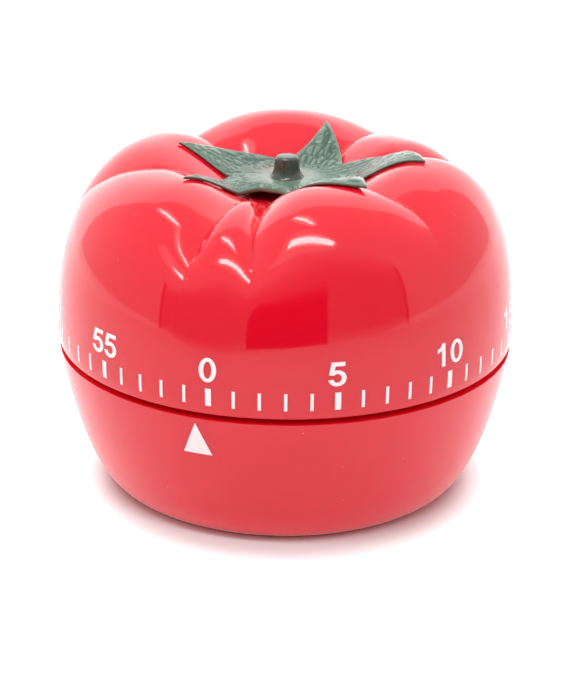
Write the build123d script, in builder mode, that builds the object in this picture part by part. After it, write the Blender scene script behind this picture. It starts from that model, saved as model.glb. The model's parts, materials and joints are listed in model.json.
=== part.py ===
from build123d import *
import os
from math import acos, atan2, cos, degrees, hypot, pi, radians, sin, tan

os.makedirs("parts", exist_ok=True)

# ---------------------------------------------------------------------------
# Driving dimensions: millimetres and degrees.
# Z is up and the resting plane is Z = 0. The pointer on the case looks along -Y.
# Angles count counterclockwise seen from above: "azimuth" from the pointer, "angle" from +X.
# ---------------------------------------------------------------------------

# Case: a plain bowl
case_rim_radius = 34.0
case_foot_radius = 25.3
case_rim_height = 21.05
bowl_start_power = 1.13
bowl_end_power = 1.97
case_wall = 2.0
foot_ring_width = 1.7
cover_recess = 0.6
cover_thickness = 1.8
ledge_thickness = 2.0
ledge_width = 5.1
lip_thickness = 1.2
lip_rise = 3.4
lip_clearance = 0.6
foot_notch_count = 3
foot_notch_width = 2.2
foot_notch_height = 0.5
foot_notch_azimuth = 16.7

# Dial shell: seven lobes between creases, round a dimple
seam_gap = 1.05
dial_bulge = 0.25
dial_wall = 2.0
wall_band_height = 2.4
shoulder_power = 2.24
lobe_power = 2.42
dimple_depth_height = 21.35
dimple_floor_radius = 4.0
# One row for each lobe, counterclockwise: the azimuth of the crease at its start and how far it
# drifts towards the dimple, that crease's height, its depth in the shoulder and the step where it
# begins, then the lobe's crest height and radius.
lobes = [
    (12.2, -11.0, (23.2, 2.6, 1.28), 28.0, 19.3),
    (65.2, 0.0, (25.8, 0.9, 1.36), 28.4, 20.3),
    (121.2, 0.0, (22.5, 0.9, 1.36), 26.8, 18.8),
    (166.2, 0.0, (25.5, 0.9, 1.36), 28.7, 19.1),
    (238.2, 0.0, (24.4, 0.9, 1.36), 27.3, 20.8),
    (293.2, 0.0, (25.3, 0.9, 1.36), 26.8, 19.3),
    (354.2, -3.0, (22.8, 3.6, 1.28), 24.3, 19.1),
]
crease_crest_radius = 19.1
crease_power = 2.63
crease_fade_span = 0.37
# Rings on the shoulder, rings on the inner slope and points across a lobe, for each loft.
fine_rings = (12, 6, 9)
coarse_rings = (8, 6, 7)

# Calyx and stem: one moulding in the dimple
calyx_seat = 0.25
calyx_thickness = 1.1
calyx_crease_share = 0.5
# One row for each sepal, counterclockwise, as reach and angle pairs: its clockwise flank,
# its tip, its counterclockwise flank, and the hollow between it and the next sepal.
sepals = [
    ((14.9, 357.5), (21.2, 0.0), (16.4, 23.0), (10.5, 57.0)),
    ((13.4, 77.5), (16.3, 89.3), (12.3, 92.4), (8.6, 112.0)),
    ((13.2, 161.0), (17.4, 181.0), (12.6, 185.0), (8.6, 190.0)),
    ((13.0, 226.0), (18.9, 240.8), (13.2, 246.0), (5.7, 248.0)),
    ((5.3, 256.0), (5.3, 266.0), (5.8, 277.0), (8.4, 287.0)),
    ((15.3, 302.0), (20.4, 321.0), (15.8, 331.0), (10.3, 4.0)),
]
stem_foot_radius = 2.4
stem_radius = 1.75
stem_rise = 4.3
stem_rounding = 0.6
peg_radius = 0.95
peg_reach = 6.8
peg_angle = 35.0
peg_clearance = 0.05

# Dial hub
hub_radius = 5.0
hub_length = 10.5
stop_rib_inner_radius = 20.6
dial_travel = 354.0
stop_clearance = 0.1

# Movement: plates, pillars and posts
bottom_plate_height = 11.0
plate_thickness = 1.0
plate_radius = 25.0
pillar_reach = 23.4
pillar_radius = 1.3
pillar_tenon_radius = 0.8
pillar_first_angle = 112.0
pillar_count = 3
pillar_thread_rise = 1.4
nut_across = 3.6
nut_thickness = 1.2
post_inset = 3.1
post_radius = 2.2
post_first_angle = 15.0
post_count = 3
stop_pin_radius = 0.5
stop_pin_reach = 21.5
stop_pin_angle = 330.0
stop_pin_rise = 4.0
stop_pin_overlap = 1.4
window_reach = 14.0
window_angle = 30.0
window_radius = 4.5

# Clearances
running_clearance = 0.05
seat_clearance = 0.02
thread_clearance = 0.02
free_gap = 0.3

# Screws
screw_radius = 0.83
screw_head_radius = 1.7
screw_head_height = 1.0
base_screw_length = 5.4
movement_screw_length = 4.0
slot_width = 0.5
slot_depth = 0.45

# Arbors and pivots
main_pivot_radius = 1.2
main_body_radius = 2.6
main_journal_radius = 2.0
main_flat = 1.4
main_collar_radius = 3.6
main_collar_thickness = 0.6
arbor_radius = 0.8
pivot_radius = 0.35
end_shake = 0.15

# Mainspring
spring_lift = 0.8
spring_width = 4.2
spring_strip = 0.22
spring_pitch = 0.76
spring_half_turns = 18
spring_post_radius = 0.8

# Gearing
pressure_angle = 20.0
gear_backlash = 0.05
addendum = 0.9
dedendum = 1.3
pinion_shift = 0.4
wheel_teeth = 60
pinion_teeth = 10
main_module = 0.4
train_module = 0.3
main_wheel_thickness = 1.0
wheel_thickness = 0.7
pinion_overhang = 0.4
second_angle = 90.0
third_reach = 13.5
escape_reach = 17.0
star_angle = 320.0
wheel_rise = 0.7
third_wheel_rise = 1.3
top_plate_rise = 1.3

# Ratchet and click
ratchet_teeth = 14
ratchet_tip_radius = 4.6
ratchet_root_radius = 3.9
ratchet_thickness = 1.0
click_pad_reach = 7.6
click_pad_radius = 1.4
click_rivet_radius = 0.6
click_rivet_head_radius = 1.0
click_rivet_head_height = 0.3

# Escapement
escape_teeth = 30
escape_tip_radius = 4.9
escape_root_radius = 4.1
escape_lift = 3.4
balance_reach = 17.4
balance_spacing = 7.6
balance_radius = 6.5
balance_rim_width = 1.3
balance_thickness = 1.2
balance_rise = 0.6
pallet_pin_reach = 3.0
pallet_pin_spread = 45.0
pallet_pin_radius = 0.3
pallet_thickness = 0.7

# Striking work
bell_side_gap = 1.3
bell_wall = 0.8
bell_flat_radius = 5.0
bell_height = 5.1
bell_lift = 1.7
bell_post_radius = 2.4
bell_thread_radius = 1.2
bell_nut_across = 4.0
star_teeth = 12
star_tip_radius = 4.0
star_root_radius = 3.1
star_lift = 2.5
star_thickness = 0.8
hammer_reach = 16.5
hammer_angle = 285.0
hammer_head_gap = 3.0
hammer_head_angle = 265.0
hammer_head_radius = 1.5
hammer_head_height = 2.1
hammer_bar_width = 1.6
hammer_arm_thickness = 1.0
hammer_tail_length = 5.1
hammer_crank_length = 2.7

# Leaf springs of the hammer and the trip lever
leaf_stud_radius = 0.8
leaf_thickness = 0.25
leaf_height = 0.9
hammer_stud_reach = 20.5
hammer_stud_angle = 268.0
trip_stud_reach = 13.5
trip_stud_angle = 290.0

# Alarm cam and trip lever
cam_radius = 6.5
cam_notch_depth = 1.2
cam_hub_radius = 3.6
cam_hub_height = 0.6
cam_thickness = 1.0
cam_rise = 1.2
trip_post_reach = 11.5
trip_post_angle = 245.0
trip_post_radius = 0.9
trip_nose_angle = 222.0
trip_nose_radius = 0.6
trip_nose_gap = 0.12
trip_drop = 8.0
trip_tail_length = 6.0
trip_width = 1.5

# ---------------------------------------------------------------------------
# Sizes worked out from the driving dimensions
# ---------------------------------------------------------------------------
dial_edge_height = case_rim_height + seam_gap
dimple_height = dial_edge_height + dimple_depth_height
dial_floor_underside = dimple_height - dial_wall
hub_bottom = dial_floor_underside - hub_length
cover_radius = case_foot_radius - foot_ring_width - 2 * running_clearance
cover_top = cover_recess + cover_thickness
ledge_top = cover_top + ledge_thickness
plate_top = bottom_plate_height + plate_thickness

spring_bottom = plate_top + spring_lift
spring_top = spring_bottom + spring_width
spring_inner_radius = main_body_radius + spring_pitch / 4 + running_clearance
spring_start = spring_inner_radius - spring_pitch / 4
spring_end = spring_start + spring_half_turns * spring_pitch / 2
spring_post_at = (spring_end + spring_strip + spring_post_radius + running_clearance, 0)
collar_bottom = spring_top + free_gap
main_wheel_bottom = collar_bottom + main_collar_thickness + 0.1
main_wheel_top = main_wheel_bottom + main_wheel_thickness
ratchet_bottom = main_wheel_top + free_gap
ratchet_top = ratchet_bottom + ratchet_thickness
second_wheel_bottom = ratchet_top + wheel_rise
third_wheel_bottom = second_wheel_bottom + wheel_thickness + third_wheel_rise
top_plate_bottom = third_wheel_bottom + wheel_thickness + top_plate_rise
top_plate_top = top_plate_bottom + plate_thickness
escape_bottom = plate_top + escape_lift
star_bottom = plate_top + star_lift
balance_bottom = main_wheel_top + balance_rise
cam_bottom = top_plate_top + cam_rise
cam_top = cam_bottom + cam_thickness
dial_edge_radius = case_rim_radius
dial_widest_radius = dial_edge_radius + dial_bulge
recess_radius = case_foot_radius - foot_ring_width
ledge_inner_radius = recess_radius - ledge_width
post_reach = recess_radius - post_inset
bell_radius = post_reach - post_radius - bell_side_gap
hammer_head_reach = bell_radius - bell_wall - hammer_head_gap - hammer_head_radius
bell_bottom = cover_top + bell_lift
bell_rim_height = bell_bottom + bell_height
hammer_arm_bottom = bottom_plate_height - free_gap - hammer_arm_thickness
plate_hole_radius = pivot_radius + running_clearance
arbor_bore_radius = arbor_radius + seat_clearance


def polar(radius, angle):
    return (radius * cos(radians(angle)), radius * sin(radians(angle)))


def from_pointer(azimuth):
    return azimuth - 90


# Angle of the next arbor round the movement, when its spacing from this one is set by the gears.
def next_angle(angle, reach, next_reach, spacing):
    share = (reach**2 + next_reach**2 - spacing**2) / (2 * reach * next_reach)
    return angle + degrees(acos(share))


def direction(start, end):
    return degrees(atan2(end[1] - start[1], end[0] - start[0]))


def gear_spacing(module):
    return module * (wheel_teeth + pinion_teeth) / 2


third_angle = next_angle(second_angle, gear_spacing(main_module), third_reach, gear_spacing(train_module))
escape_angle = next_angle(third_angle, third_reach, escape_reach, gear_spacing(train_module))
balance_angle = next_angle(escape_angle, escape_reach, balance_reach, balance_spacing)
centre = (0, 0)
second_at = polar(gear_spacing(main_module), second_angle)
third_at = polar(third_reach, third_angle)
escape_at = polar(escape_reach, escape_angle)
balance_at = polar(balance_reach, balance_angle)
star_at = polar(gear_spacing(main_module), star_angle)
hammer_at = polar(hammer_reach, hammer_angle)
hammer_head_at = polar(hammer_head_reach, hammer_head_angle)
trip_at = polar(trip_post_reach, trip_post_angle)
hammer_stud_at = polar(hammer_stud_reach, hammer_stud_angle)
trip_stud_at = polar(trip_stud_reach, trip_stud_angle)


def write(piece, name):
    piece.label = name
    export_step(piece, f"parts/{name}.step")


# ---------------------------------------------------------------------------
# The lobed skin
# ---------------------------------------------------------------------------
# A meridian runs in three stretches: 0 to 1 up the wall band, 1 to 2 round the shoulder to the
# crest, 2 to 3 down the inner slope to the dimple's floor.
def meridian(step, crest, crest_radius, widest, power):
    if step <= 1:
        lean = 1 - (1 - step) ** 2
        return (dial_edge_radius + (widest - dial_edge_radius) * lean, wall_band_height * step)
    if step <= 2:
        turn = (step - 1) * pi / 2
        return (
            crest_radius + (widest - crest_radius) * abs(cos(turn)) ** (2 / power),
            wall_band_height + (crest - wall_band_height) * abs(sin(turn)) ** (2 / power),
        )
    slope = step - 2
    return (
        crest_radius - (crest_radius - dimple_floor_radius) * slope,
        dimple_depth_height + (crest - dimple_depth_height) * (0.5 + 0.5 * cos(pi * slope)),
    )


# The meridian moved outwards by "grow", square to itself.
def grown_meridian(step, grow, crest, crest_radius, widest, power):
    radius, height = meridian(step, crest, crest_radius, widest, power)
    if step < 1:
        return (radius + grow, height)
    nudge = 1e-4
    before = meridian(step - nudge, crest, crest_radius, widest, power)
    after = meridian(min(step + nudge, 3), crest, crest_radius, widest, power)
    run = after[0] - before[0]
    rise = after[1] - before[1]
    length = hypot(run, rise)
    if step == 3:
        return (radius, height + grow)
    return (radius + grow * rise / length, height - grow * run / length)


def smooth(share):
    share = min(max(share, 0), 1)
    return share * share * (3 - 2 * share)


# One point of the skin: "across" runs from -1 to 1 between a lobe's two creases.
def skin_point(lobe, across, step, grow, crease_share):
    start, start_drift, start_crease, crest, crest_radius = lobes[lobe]
    end, end_drift, end_crease, end_crest, end_crest_radius = lobes[(lobe + 1) % len(lobes)]
    if across < 0:
        crease_height, crease_depth, crease_start = start_crease
        near_crest = (crest + lobes[lobe - 1][3]) / 2
        near_radius = (crest_radius + lobes[lobe - 1][4]) / 2
    else:
        crease_height, crease_depth, crease_start = end_crease
        near_crest = (crest + end_crest) / 2
        near_radius = (crest_radius + end_crest_radius) / 2
    on_lobe = grown_meridian(step, grow, crest, crest_radius, dial_widest_radius, shoulder_power)
    shared = grown_meridian(step, grow, near_crest, near_radius, dial_widest_radius, shoulder_power)
    crease_shoulder = dial_widest_radius - crease_depth
    low = grown_meridian(
        step, grow, crease_height, crease_crest_radius, crease_shoulder, crease_power
    )
    fade = smooth((step - crease_start) / crease_fade_span) * crease_share
    weight = abs(across) ** lobe_power
    radius, height = (
        a + (b + (c - b) * fade - a) * weight for a, b, c in zip(on_lobe, shared, low)
    )
    inward = min(max((step - 1.55) / 1.45, 0), 1)
    first = start + start_drift * inward
    last = end + end_drift * inward + (360 if end < start else 0)
    azimuth = first + (last - first) * (across + 1) / 2
    x, y = polar(radius, from_pointer(azimuth))
    return (x, y, dial_edge_height + height)


# The solid under the skin, lofted through rings that each have one spline for each lobe.
def skin_solid(grow, crease_share, shoulder_rings, slope_rings, lobe_points):
    steps = [0, 0.5]
    steps += [1 + ring / shoulder_rings for ring in range(shoulder_rings)]
    steps += [2 + ring / slope_rings for ring in range(slope_rings + 1)]
    drop = 1.0 if grow < 0 else 0.0
    rings = []
    for step in steps:
        edges = []
        for lobe in range(len(lobes)):
            points = []
            for number in range(lobe_points):
                across = 2 * number / (lobe_points - 1) - 1
                x, y, z = skin_point(lobe, across, step, grow, crease_share)
                points.append((x, y, z - drop if step == 0 else z))
            knots = [number / (lobe_points - 1) for number in range(lobe_points)]
            edges.append(Edge.make_spline(points, parameters=knots))
        rings.append(Wire(edges))
    return Solid.make_loft(rings)


outer_skin = skin_solid(0, 1, *fine_rings)
inner_skin = skin_solid(-dial_wall, 1, *coarse_rings)

# ---------------------------------------------------------------------------
# Screws, wheels and arbors
# ---------------------------------------------------------------------------
# Slotted screws at several places. "up" is 1 where the head looks up and -1 where it looks down.
def screws(name, places, seat_height, up, length, head_radius):
    with BuildPart() as screw:
        for place in places:
            seat = Plane((place[0], place[1], seat_height), z_dir=(0, 0, up))
            with BuildSketch(seat):
                Circle(head_radius)
            extrude(amount=screw_head_height)
            with BuildSketch(seat):
                Circle(screw_radius)
            extrude(amount=-length)
            with BuildSketch(seat.offset(screw_head_height)):
                Rectangle(2 * head_radius, slot_width)
            extrude(amount=-slot_depth, mode=Mode.SUBTRACT)
    write(screw.part, name)


def involute(angle):
    return tan(angle) - angle


# Half of the angle, in radians, that a tooth fills at this radius.
def half_tooth(radius, teeth, module, shift):
    pressure = radians(pressure_angle)
    pitch_radius = module * teeth / 2
    base_radius = pitch_radius * cos(pressure)
    at_pitch = (pi / 2 + 2 * shift * tan(pressure)) / teeth - gear_backlash / 2 / pitch_radius
    here = acos(base_radius / radius) if radius > base_radius else 0
    return at_pitch + involute(pressure) - involute(here)


def gear_outline(at, teeth, module, shift, phase):
    pitch_radius = module * teeth / 2
    root = pitch_radius - module * (dedendum - shift)
    tip = pitch_radius + module * (addendum + shift)
    radii = [root + (tip - root) * step / 3 for step in range(4)]
    points = []
    for tooth in range(teeth):
        middle = phase + 360 * tooth / teeth
        for side, flank in ((-1, radii), (1, radii[::-1])):
            for radius in flank:
                half = degrees(half_tooth(radius, teeth, module, shift))
                x, y = polar(radius, middle + side * half)
                points.append((at[0] + x, at[1] + y))
    return points


# The phase at which a pinion's gap meets the wheel's nearest tooth on the line of centres.
def pinion_phase(wheel_phase, line):
    tooth_pitch = 360 / wheel_teeth
    lead = (wheel_phase - line + tooth_pitch / 2) % tooth_pitch - tooth_pitch / 2
    return line + 180 - 180 / pinion_teeth - lead * wheel_teeth / pinion_teeth


def wheel(name, at, bottom, thickness, module, phase, bore, hole_reach, hole_radius, hole_angles):
    with BuildPart() as gear:
        with BuildSketch(Plane.XY.offset(bottom)):
            with BuildLine():
                Polyline(*gear_outline(at, wheel_teeth, module, -pinion_shift, phase), close=True)
            make_face()
            with Locations(at):
                Circle(bore, mode=Mode.SUBTRACT)
            for angle in hole_angles:
                x, y = polar(hole_reach, angle)
                with Locations((at[0] + x, at[1] + y)):
                    Circle(hole_radius, mode=Mode.SUBTRACT)
        extrude(amount=thickness)
    write(gear.part, name)


def pinion(name, at, wheel_bottom, driving_thickness, module, phase):
    with BuildPart() as leaves:
        with BuildSketch(Plane.XY.offset(wheel_bottom - pinion_overhang)):
            with BuildLine():
                Polyline(*gear_outline(at, pinion_teeth, module, pinion_shift, phase), close=True)
            make_face()
            with Locations(at):
                Circle(arbor_bore_radius, mode=Mode.SUBTRACT)
        extrude(amount=driving_thickness + 2 * pinion_overhang)
    write(leaves.part, name)


# Pointed teeth round a bore. "steep" and "land" are where the gap's floor starts and ends,
# as shares of a tooth's pitch, so a small "steep" makes saw teeth.
def toothed_disc(name, at, bottom, thickness, teeth, root, tip, steep, land, phase, bore):
    points = []
    for tooth in range(teeth):
        start = phase + 360 * tooth / teeth
        points.append(polar(tip, start))
        points.append(polar(root, start + steep * 360 / teeth))
        points.append(polar(root, start + land * 360 / teeth))
    placed = [(at[0] + x, at[1] + y) for x, y in points]
    with BuildPart() as disc:
        with BuildSketch(Plane.XY.offset(bottom)):
            with BuildLine():
                Polyline(*placed, close=True)
            make_face()
            with Locations(at):
                Circle(bore, mode=Mode.SUBTRACT)
        extrude(amount=thickness)
    write(disc.part, name)


# A plain arbor between the plates, with a thin pivot at each end.
def arbor(name, at):
    with BuildPart() as rod:
        with BuildSketch(Plane.XY.offset(plate_top + end_shake)):
            with Locations(at):
                Circle(arbor_radius)
        extrude(amount=top_plate_bottom - plate_top - 2 * end_shake)
        with BuildSketch(Plane.XY.offset(bottom_plate_height)):
            with Locations(at):
                Circle(pivot_radius)
        extrude(amount=top_plate_top - bottom_plate_height)
    write(rod.part, name)


# A flat bar with round ends, from one point towards another.
def bar(start, length, angle, width):
    middle = polar(length / 2, angle)
    with Locations(Location((start[0] + middle[0], start[1] + middle[1], 0), (0, 0, angle))):
        SlotCenterToCenter(length, width)


# A stud on a plate with a thin blade on edge that ends just short of what it presses on.
def leaf_spring(name, stud_at, tip_at, seat_height, blade_bottom):
    length = hypot(tip_at[0] - stud_at[0], tip_at[1] - stud_at[1])
    with BuildPart() as leaf:
        with BuildSketch(Plane.XY.offset(seat_height)):
            with Locations(stud_at):
                Circle(leaf_stud_radius)
        extrude(amount=blade_bottom + leaf_height - seat_height)
        with BuildSketch(Plane.XY.offset(seat_height - plate_thickness)):
            with Locations(stud_at):
                Circle(leaf_stud_radius / 2)
        extrude(amount=plate_thickness)
        with BuildSketch(Plane.XY.offset(blade_bottom)):
            bar(stud_at, length, direction(stud_at, tip_at), leaf_thickness)
        extrude(amount=leaf_height)
    write(leaf.part, name)


# ---------------------------------------------------------------------------
# Case
# ---------------------------------------------------------------------------
def bowl_radius(height):
    depth = min((case_rim_height - height) / case_rim_height, 1)
    round_off = (1 - depth**bowl_start_power) ** (1 / bowl_end_power)
    return case_foot_radius + (case_rim_radius - case_foot_radius) * round_off


post_places = [polar(post_reach, post_first_angle + 360 * k / post_count) for k in range(post_count)]
pillar_places = [
    polar(pillar_reach, pillar_first_angle + 360 * k / pillar_count) for k in range(pillar_count)
]
lip_outer_radius = dial_edge_radius - dial_wall - lip_clearance
lip_inner_radius = lip_outer_radius - lip_thickness
lip_top = case_rim_height + lip_rise
lip_root = case_rim_height - case_wall
bowl_levels = 9
outer_heights = [case_rim_height * (1 - level / bowl_levels) ** 1.5 for level in range(bowl_levels + 1)]
inner_heights = [
    ledge_top + (lip_root - ledge_top) * level / (bowl_levels - 3) for level in range(bowl_levels - 2)
]

with BuildPart() as lower_shell:
    with BuildSketch(Plane.XZ):
        with BuildLine():
            outer = Spline(*[(bowl_radius(height), height) for height in outer_heights])
            Polyline(
                outer @ 1,
                (recess_radius, 0),
                (recess_radius, cover_top),
                (ledge_inner_radius, cover_top),
                (ledge_inner_radius, ledge_top),
                (bowl_radius(ledge_top) - case_wall, ledge_top),
            )
            inner = Spline(*[(bowl_radius(height) - case_wall, height) for height in inner_heights])
            Polyline(
                inner @ 1,
                (lip_inner_radius, lip_root + case_wall / 2),
                (lip_inner_radius, lip_top),
                (lip_outer_radius, lip_top),
                (lip_outer_radius, case_rim_height),
                outer @ 0,
            )
        make_face()
    revolve(axis=Axis.Z)
    with BuildSketch(Plane.XY.offset(cover_top)):
        with Locations(*post_places):
            Circle(post_radius)
    extrude(amount=bottom_plate_height - cover_top)
    with BuildSketch(Plane.XY.offset(cover_top)):
        with Locations(*post_places):
            Circle(screw_radius + thread_clearance)
    extrude(amount=bottom_plate_height - cover_top, mode=Mode.SUBTRACT)
    with BuildSketch(Plane.XY):
        for notch in range(foot_notch_count):
            angle = from_pointer(foot_notch_azimuth) + 360 * notch / foot_notch_count
            x, y = polar(case_foot_radius - foot_ring_width / 2, angle)
            with Locations(Location((x, y, 0), (0, 0, angle))):
                Rectangle(3 * foot_ring_width, foot_notch_width)
    extrude(amount=foot_notch_height, mode=Mode.SUBTRACT)
write(lower_shell.part, "lower_shell")

sound_slot_count = 8
sound_slot_reach = 12.5
sound_slot_length = 9.0
sound_slot_width = 2.2
with BuildPart() as base_cover:
    with BuildSketch(Plane.XY.offset(cover_recess)):
        Circle(cover_radius)
        with PolarLocations(sound_slot_reach, sound_slot_count):
            SlotOverall(sound_slot_length, sound_slot_width, mode=Mode.SUBTRACT)
        with Locations(*post_places):
            Circle(screw_radius + running_clearance, mode=Mode.SUBTRACT)
    extrude(amount=cover_thickness)
    with BuildSketch(Plane.XY.offset(cover_recess)):
        with Locations(*post_places):
            Circle(screw_head_radius + running_clearance)
    extrude(amount=screw_head_height, mode=Mode.SUBTRACT)
write(base_cover.part, "base_cover")

screws("base_screws", post_places, cover_recess + screw_head_height, -1, base_screw_length,
       screw_head_radius)
screws("movement_screws", post_places, plate_top, 1, movement_screw_length, screw_head_radius)

# ---------------------------------------------------------------------------
# Plates and pillars
# ---------------------------------------------------------------------------
train_places = [second_at, third_at, escape_at, balance_at, star_at]
hammer_hole_radius = arbor_radius + running_clearance

with BuildPart() as bottom_plate:
    with BuildSketch(Plane.XY.offset(bottom_plate_height)):
        Circle(plate_radius)
        Circle(main_journal_radius + seat_clearance, mode=Mode.SUBTRACT)
        with Locations(*train_places):
            Circle(plate_hole_radius, mode=Mode.SUBTRACT)
        with Locations(hammer_at):
            Circle(hammer_hole_radius, mode=Mode.SUBTRACT)
        with Locations(*post_places):
            Circle(screw_radius + running_clearance, mode=Mode.SUBTRACT)
        with Locations(*pillar_places):
            Circle(pillar_tenon_radius + seat_clearance, mode=Mode.SUBTRACT)
        with Locations(spring_post_at):
            Circle(spring_post_radius / 2 + seat_clearance, mode=Mode.SUBTRACT)
        with Locations(hammer_stud_at):
            Circle(leaf_stud_radius / 2 + seat_clearance, mode=Mode.SUBTRACT)
    extrude(amount=plate_thickness)
write(bottom_plate.part, "bottom_plate")

stop_pin_at = polar(stop_pin_reach, stop_pin_angle)
with BuildPart() as top_plate:
    with BuildSketch(Plane.XY.offset(top_plate_bottom)):
        Circle(plate_radius)
        Circle(main_journal_radius + running_clearance, mode=Mode.SUBTRACT)
        with Locations(*train_places):
            Circle(plate_hole_radius, mode=Mode.SUBTRACT)
        with Locations(hammer_at):
            Circle(hammer_hole_radius, mode=Mode.SUBTRACT)
        with Locations(*pillar_places):
            Circle(pillar_tenon_radius + seat_clearance, mode=Mode.SUBTRACT)
        with Locations(stop_pin_at):
            Circle(stop_pin_radius + seat_clearance, mode=Mode.SUBTRACT)
        with Locations(trip_at):
            Circle(trip_post_radius / 2 + seat_clearance, mode=Mode.SUBTRACT)
        with Locations(polar(window_reach, window_angle)):
            Circle(window_radius, mode=Mode.SUBTRACT)
        with Locations(trip_stud_at):
            Circle(leaf_stud_radius / 2 + seat_clearance, mode=Mode.SUBTRACT)
    extrude(amount=plate_thickness)
write(top_plate.part, "top_plate")

with BuildPart() as plate_pillars:
    with BuildSketch(Plane.XY.offset(plate_top)):
        with Locations(*pillar_places):
            Circle(pillar_radius)
    extrude(amount=top_plate_bottom - plate_top)
    with BuildSketch(Plane.XY.offset(bottom_plate_height)):
        with Locations(*pillar_places):
            Circle(pillar_tenon_radius)
    extrude(amount=top_plate_top + pillar_thread_rise - bottom_plate_height)
write(plate_pillars.part, "plate_pillars")

with BuildPart() as pillar_nuts:
    with BuildSketch(Plane.XY.offset(top_plate_top)):
        with Locations(*pillar_places):
            RegularPolygon(nut_across / 2, 6, major_radius=False)
            Circle(pillar_tenon_radius + thread_clearance, mode=Mode.SUBTRACT)
    extrude(amount=nut_thickness)
write(pillar_nuts.part, "pillar_nuts")

with BuildPart() as stop_pin:
    with BuildSketch(Plane.XY.offset(top_plate_bottom)):
        with Locations(stop_pin_at):
            Circle(stop_pin_radius)
    extrude(amount=plate_thickness + stop_pin_rise)
write(stop_pin.part, "stop_pin")

# ---------------------------------------------------------------------------
# Bell on its hollow post, which is also the main arbor's lower bush
# ---------------------------------------------------------------------------
bell_seat = bell_bottom + bell_wall
bush_depth = 2.0
with BuildPart() as bell_post:
    with BuildSketch(Plane.XZ):
        with BuildLine():
            Polyline(
                (0, bell_bottom - nut_thickness - thread_clearance),
                (bell_thread_radius, bell_bottom - nut_thickness - thread_clearance),
                (bell_thread_radius, bell_seat),
                (bell_post_radius, bell_seat),
                (bell_post_radius, bottom_plate_height),
                (main_journal_radius, bottom_plate_height),
                (main_journal_radius, plate_top),
                (main_pivot_radius + running_clearance, plate_top),
                (main_pivot_radius + running_clearance, bottom_plate_height - bush_depth),
                (0, bottom_plate_height - bush_depth),
                close=True,
            )
        make_face()
    revolve(axis=Axis.Z)
write(bell_post.part, "bell_post")

with BuildPart() as bell:
    with BuildSketch(Plane.XZ):
        with BuildLine():
            bell_outside = ThreePointArc(
                (bell_flat_radius, bell_bottom),
                (0.79 * bell_radius, bell_bottom + 0.3 * bell_height),
                (bell_radius, bell_rim_height),
            )
            bell_inside = ThreePointArc(
                (bell_flat_radius, bell_bottom + bell_wall),
                (0.79 * bell_radius - 0.4 * bell_wall, bell_bottom + 0.3 * bell_height + 0.8 * bell_wall),
                (bell_radius - bell_wall, bell_rim_height),
            )
            Line(bell_outside @ 1, bell_inside @ 1)
            Polyline(
                bell_outside @ 0,
                (bell_thread_radius + running_clearance, bell_bottom),
                (bell_thread_radius + running_clearance, bell_bottom + bell_wall),
                bell_inside @ 0,
            )
        make_face()
    revolve(axis=Axis.Z)
write(bell.part, "bell")

with BuildPart() as bell_nut:
    with BuildSketch(Plane.XY.offset(bell_bottom)):
        RegularPolygon(bell_nut_across / 2, 6, major_radius=False)
        Circle(bell_thread_radius + thread_clearance, mode=Mode.SUBTRACT)
    extrude(amount=-nut_thickness)
write(bell_nut.part, "bell_nut")

# ---------------------------------------------------------------------------
# Mainspring: half turns of growing radius, and the post that holds its outer end
# ---------------------------------------------------------------------------
with BuildPart() as mainspring:
    with BuildSketch(Plane.XY.offset(spring_bottom)):
        with BuildLine():
            for strip_side in (0, spring_strip):
                for half_turn in range(spring_half_turns):
                    side = -1 if half_turn % 2 == 0 else 1
                    CenterArc(
                        (side * spring_pitch / 4, 0),
                        spring_inner_radius + half_turn * spring_pitch / 2 + strip_side,
                        180 * (half_turn % 2),
                        180,
                    )
            Line((spring_start, 0), (spring_start + spring_strip, 0))
            Line((spring_end, 0), (spring_end + spring_strip, 0))
        make_face()
    extrude(amount=spring_width)
write(mainspring.part, "mainspring")

with BuildPart() as spring_post:
    with BuildSketch(Plane.XY.offset(plate_top)):
        with Locations(spring_post_at):
            Circle(spring_post_radius)
    extrude(amount=spring_top - plate_top)
    with BuildSketch(Plane.XY.offset(bottom_plate_height)):
        with Locations(spring_post_at):
            Circle(spring_post_radius / 2)
    extrude(amount=plate_thickness)
write(spring_post.part, "spring_post")

# ---------------------------------------------------------------------------
# Main arbor, ratchet, main wheel and click
# ---------------------------------------------------------------------------
arbor_top = dial_floor_underside - 1.0
screw_bore_depth = 6.0
with BuildPart() as main_arbor:
    with BuildSketch(Plane.XZ):
        with BuildLine():
            Polyline(
                (0, bottom_plate_height - bush_depth + end_shake),
                (main_pivot_radius, bottom_plate_height - bush_depth + end_shake),
                (main_pivot_radius, plate_top + end_shake),
                (main_body_radius, plate_top + end_shake),
                (main_body_radius, collar_bottom),
                (main_collar_radius, collar_bottom),
                (main_collar_radius, collar_bottom + main_collar_thickness),
                (main_body_radius, collar_bottom + main_collar_thickness),
                (main_body_radius, top_plate_bottom - end_shake),
                (main_journal_radius, top_plate_bottom - end_shake),
                (main_journal_radius, arbor_top),
                (0, arbor_top),
                close=True,
            )
        make_face()
    revolve(axis=Axis.Z)
    with BuildSketch(Plane.XY.offset(hub_bottom)):
        with Locations((main_flat + main_journal_radius / 2, 0)):
            Rectangle(main_journal_radius, 2 * main_journal_radius)
    extrude(amount=arbor_top - hub_bottom, mode=Mode.SUBTRACT)
    with BuildSketch(Plane.XY.offset(arbor_top)):
        Circle(screw_radius + thread_clearance)
    extrude(amount=-screw_bore_depth, mode=Mode.SUBTRACT)
write(main_arbor.part, "main_arbor")

click_angle = 150.0
click_pad_angle = click_angle + 75
click_pad_at = polar(click_pad_reach, click_pad_angle)
toothed_disc("ratchet_wheel", centre, ratchet_bottom, ratchet_thickness, ratchet_teeth,
             ratchet_root_radius, ratchet_tip_radius, 0.15, 0.45, click_angle,
             main_body_radius + seat_clearance)

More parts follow.
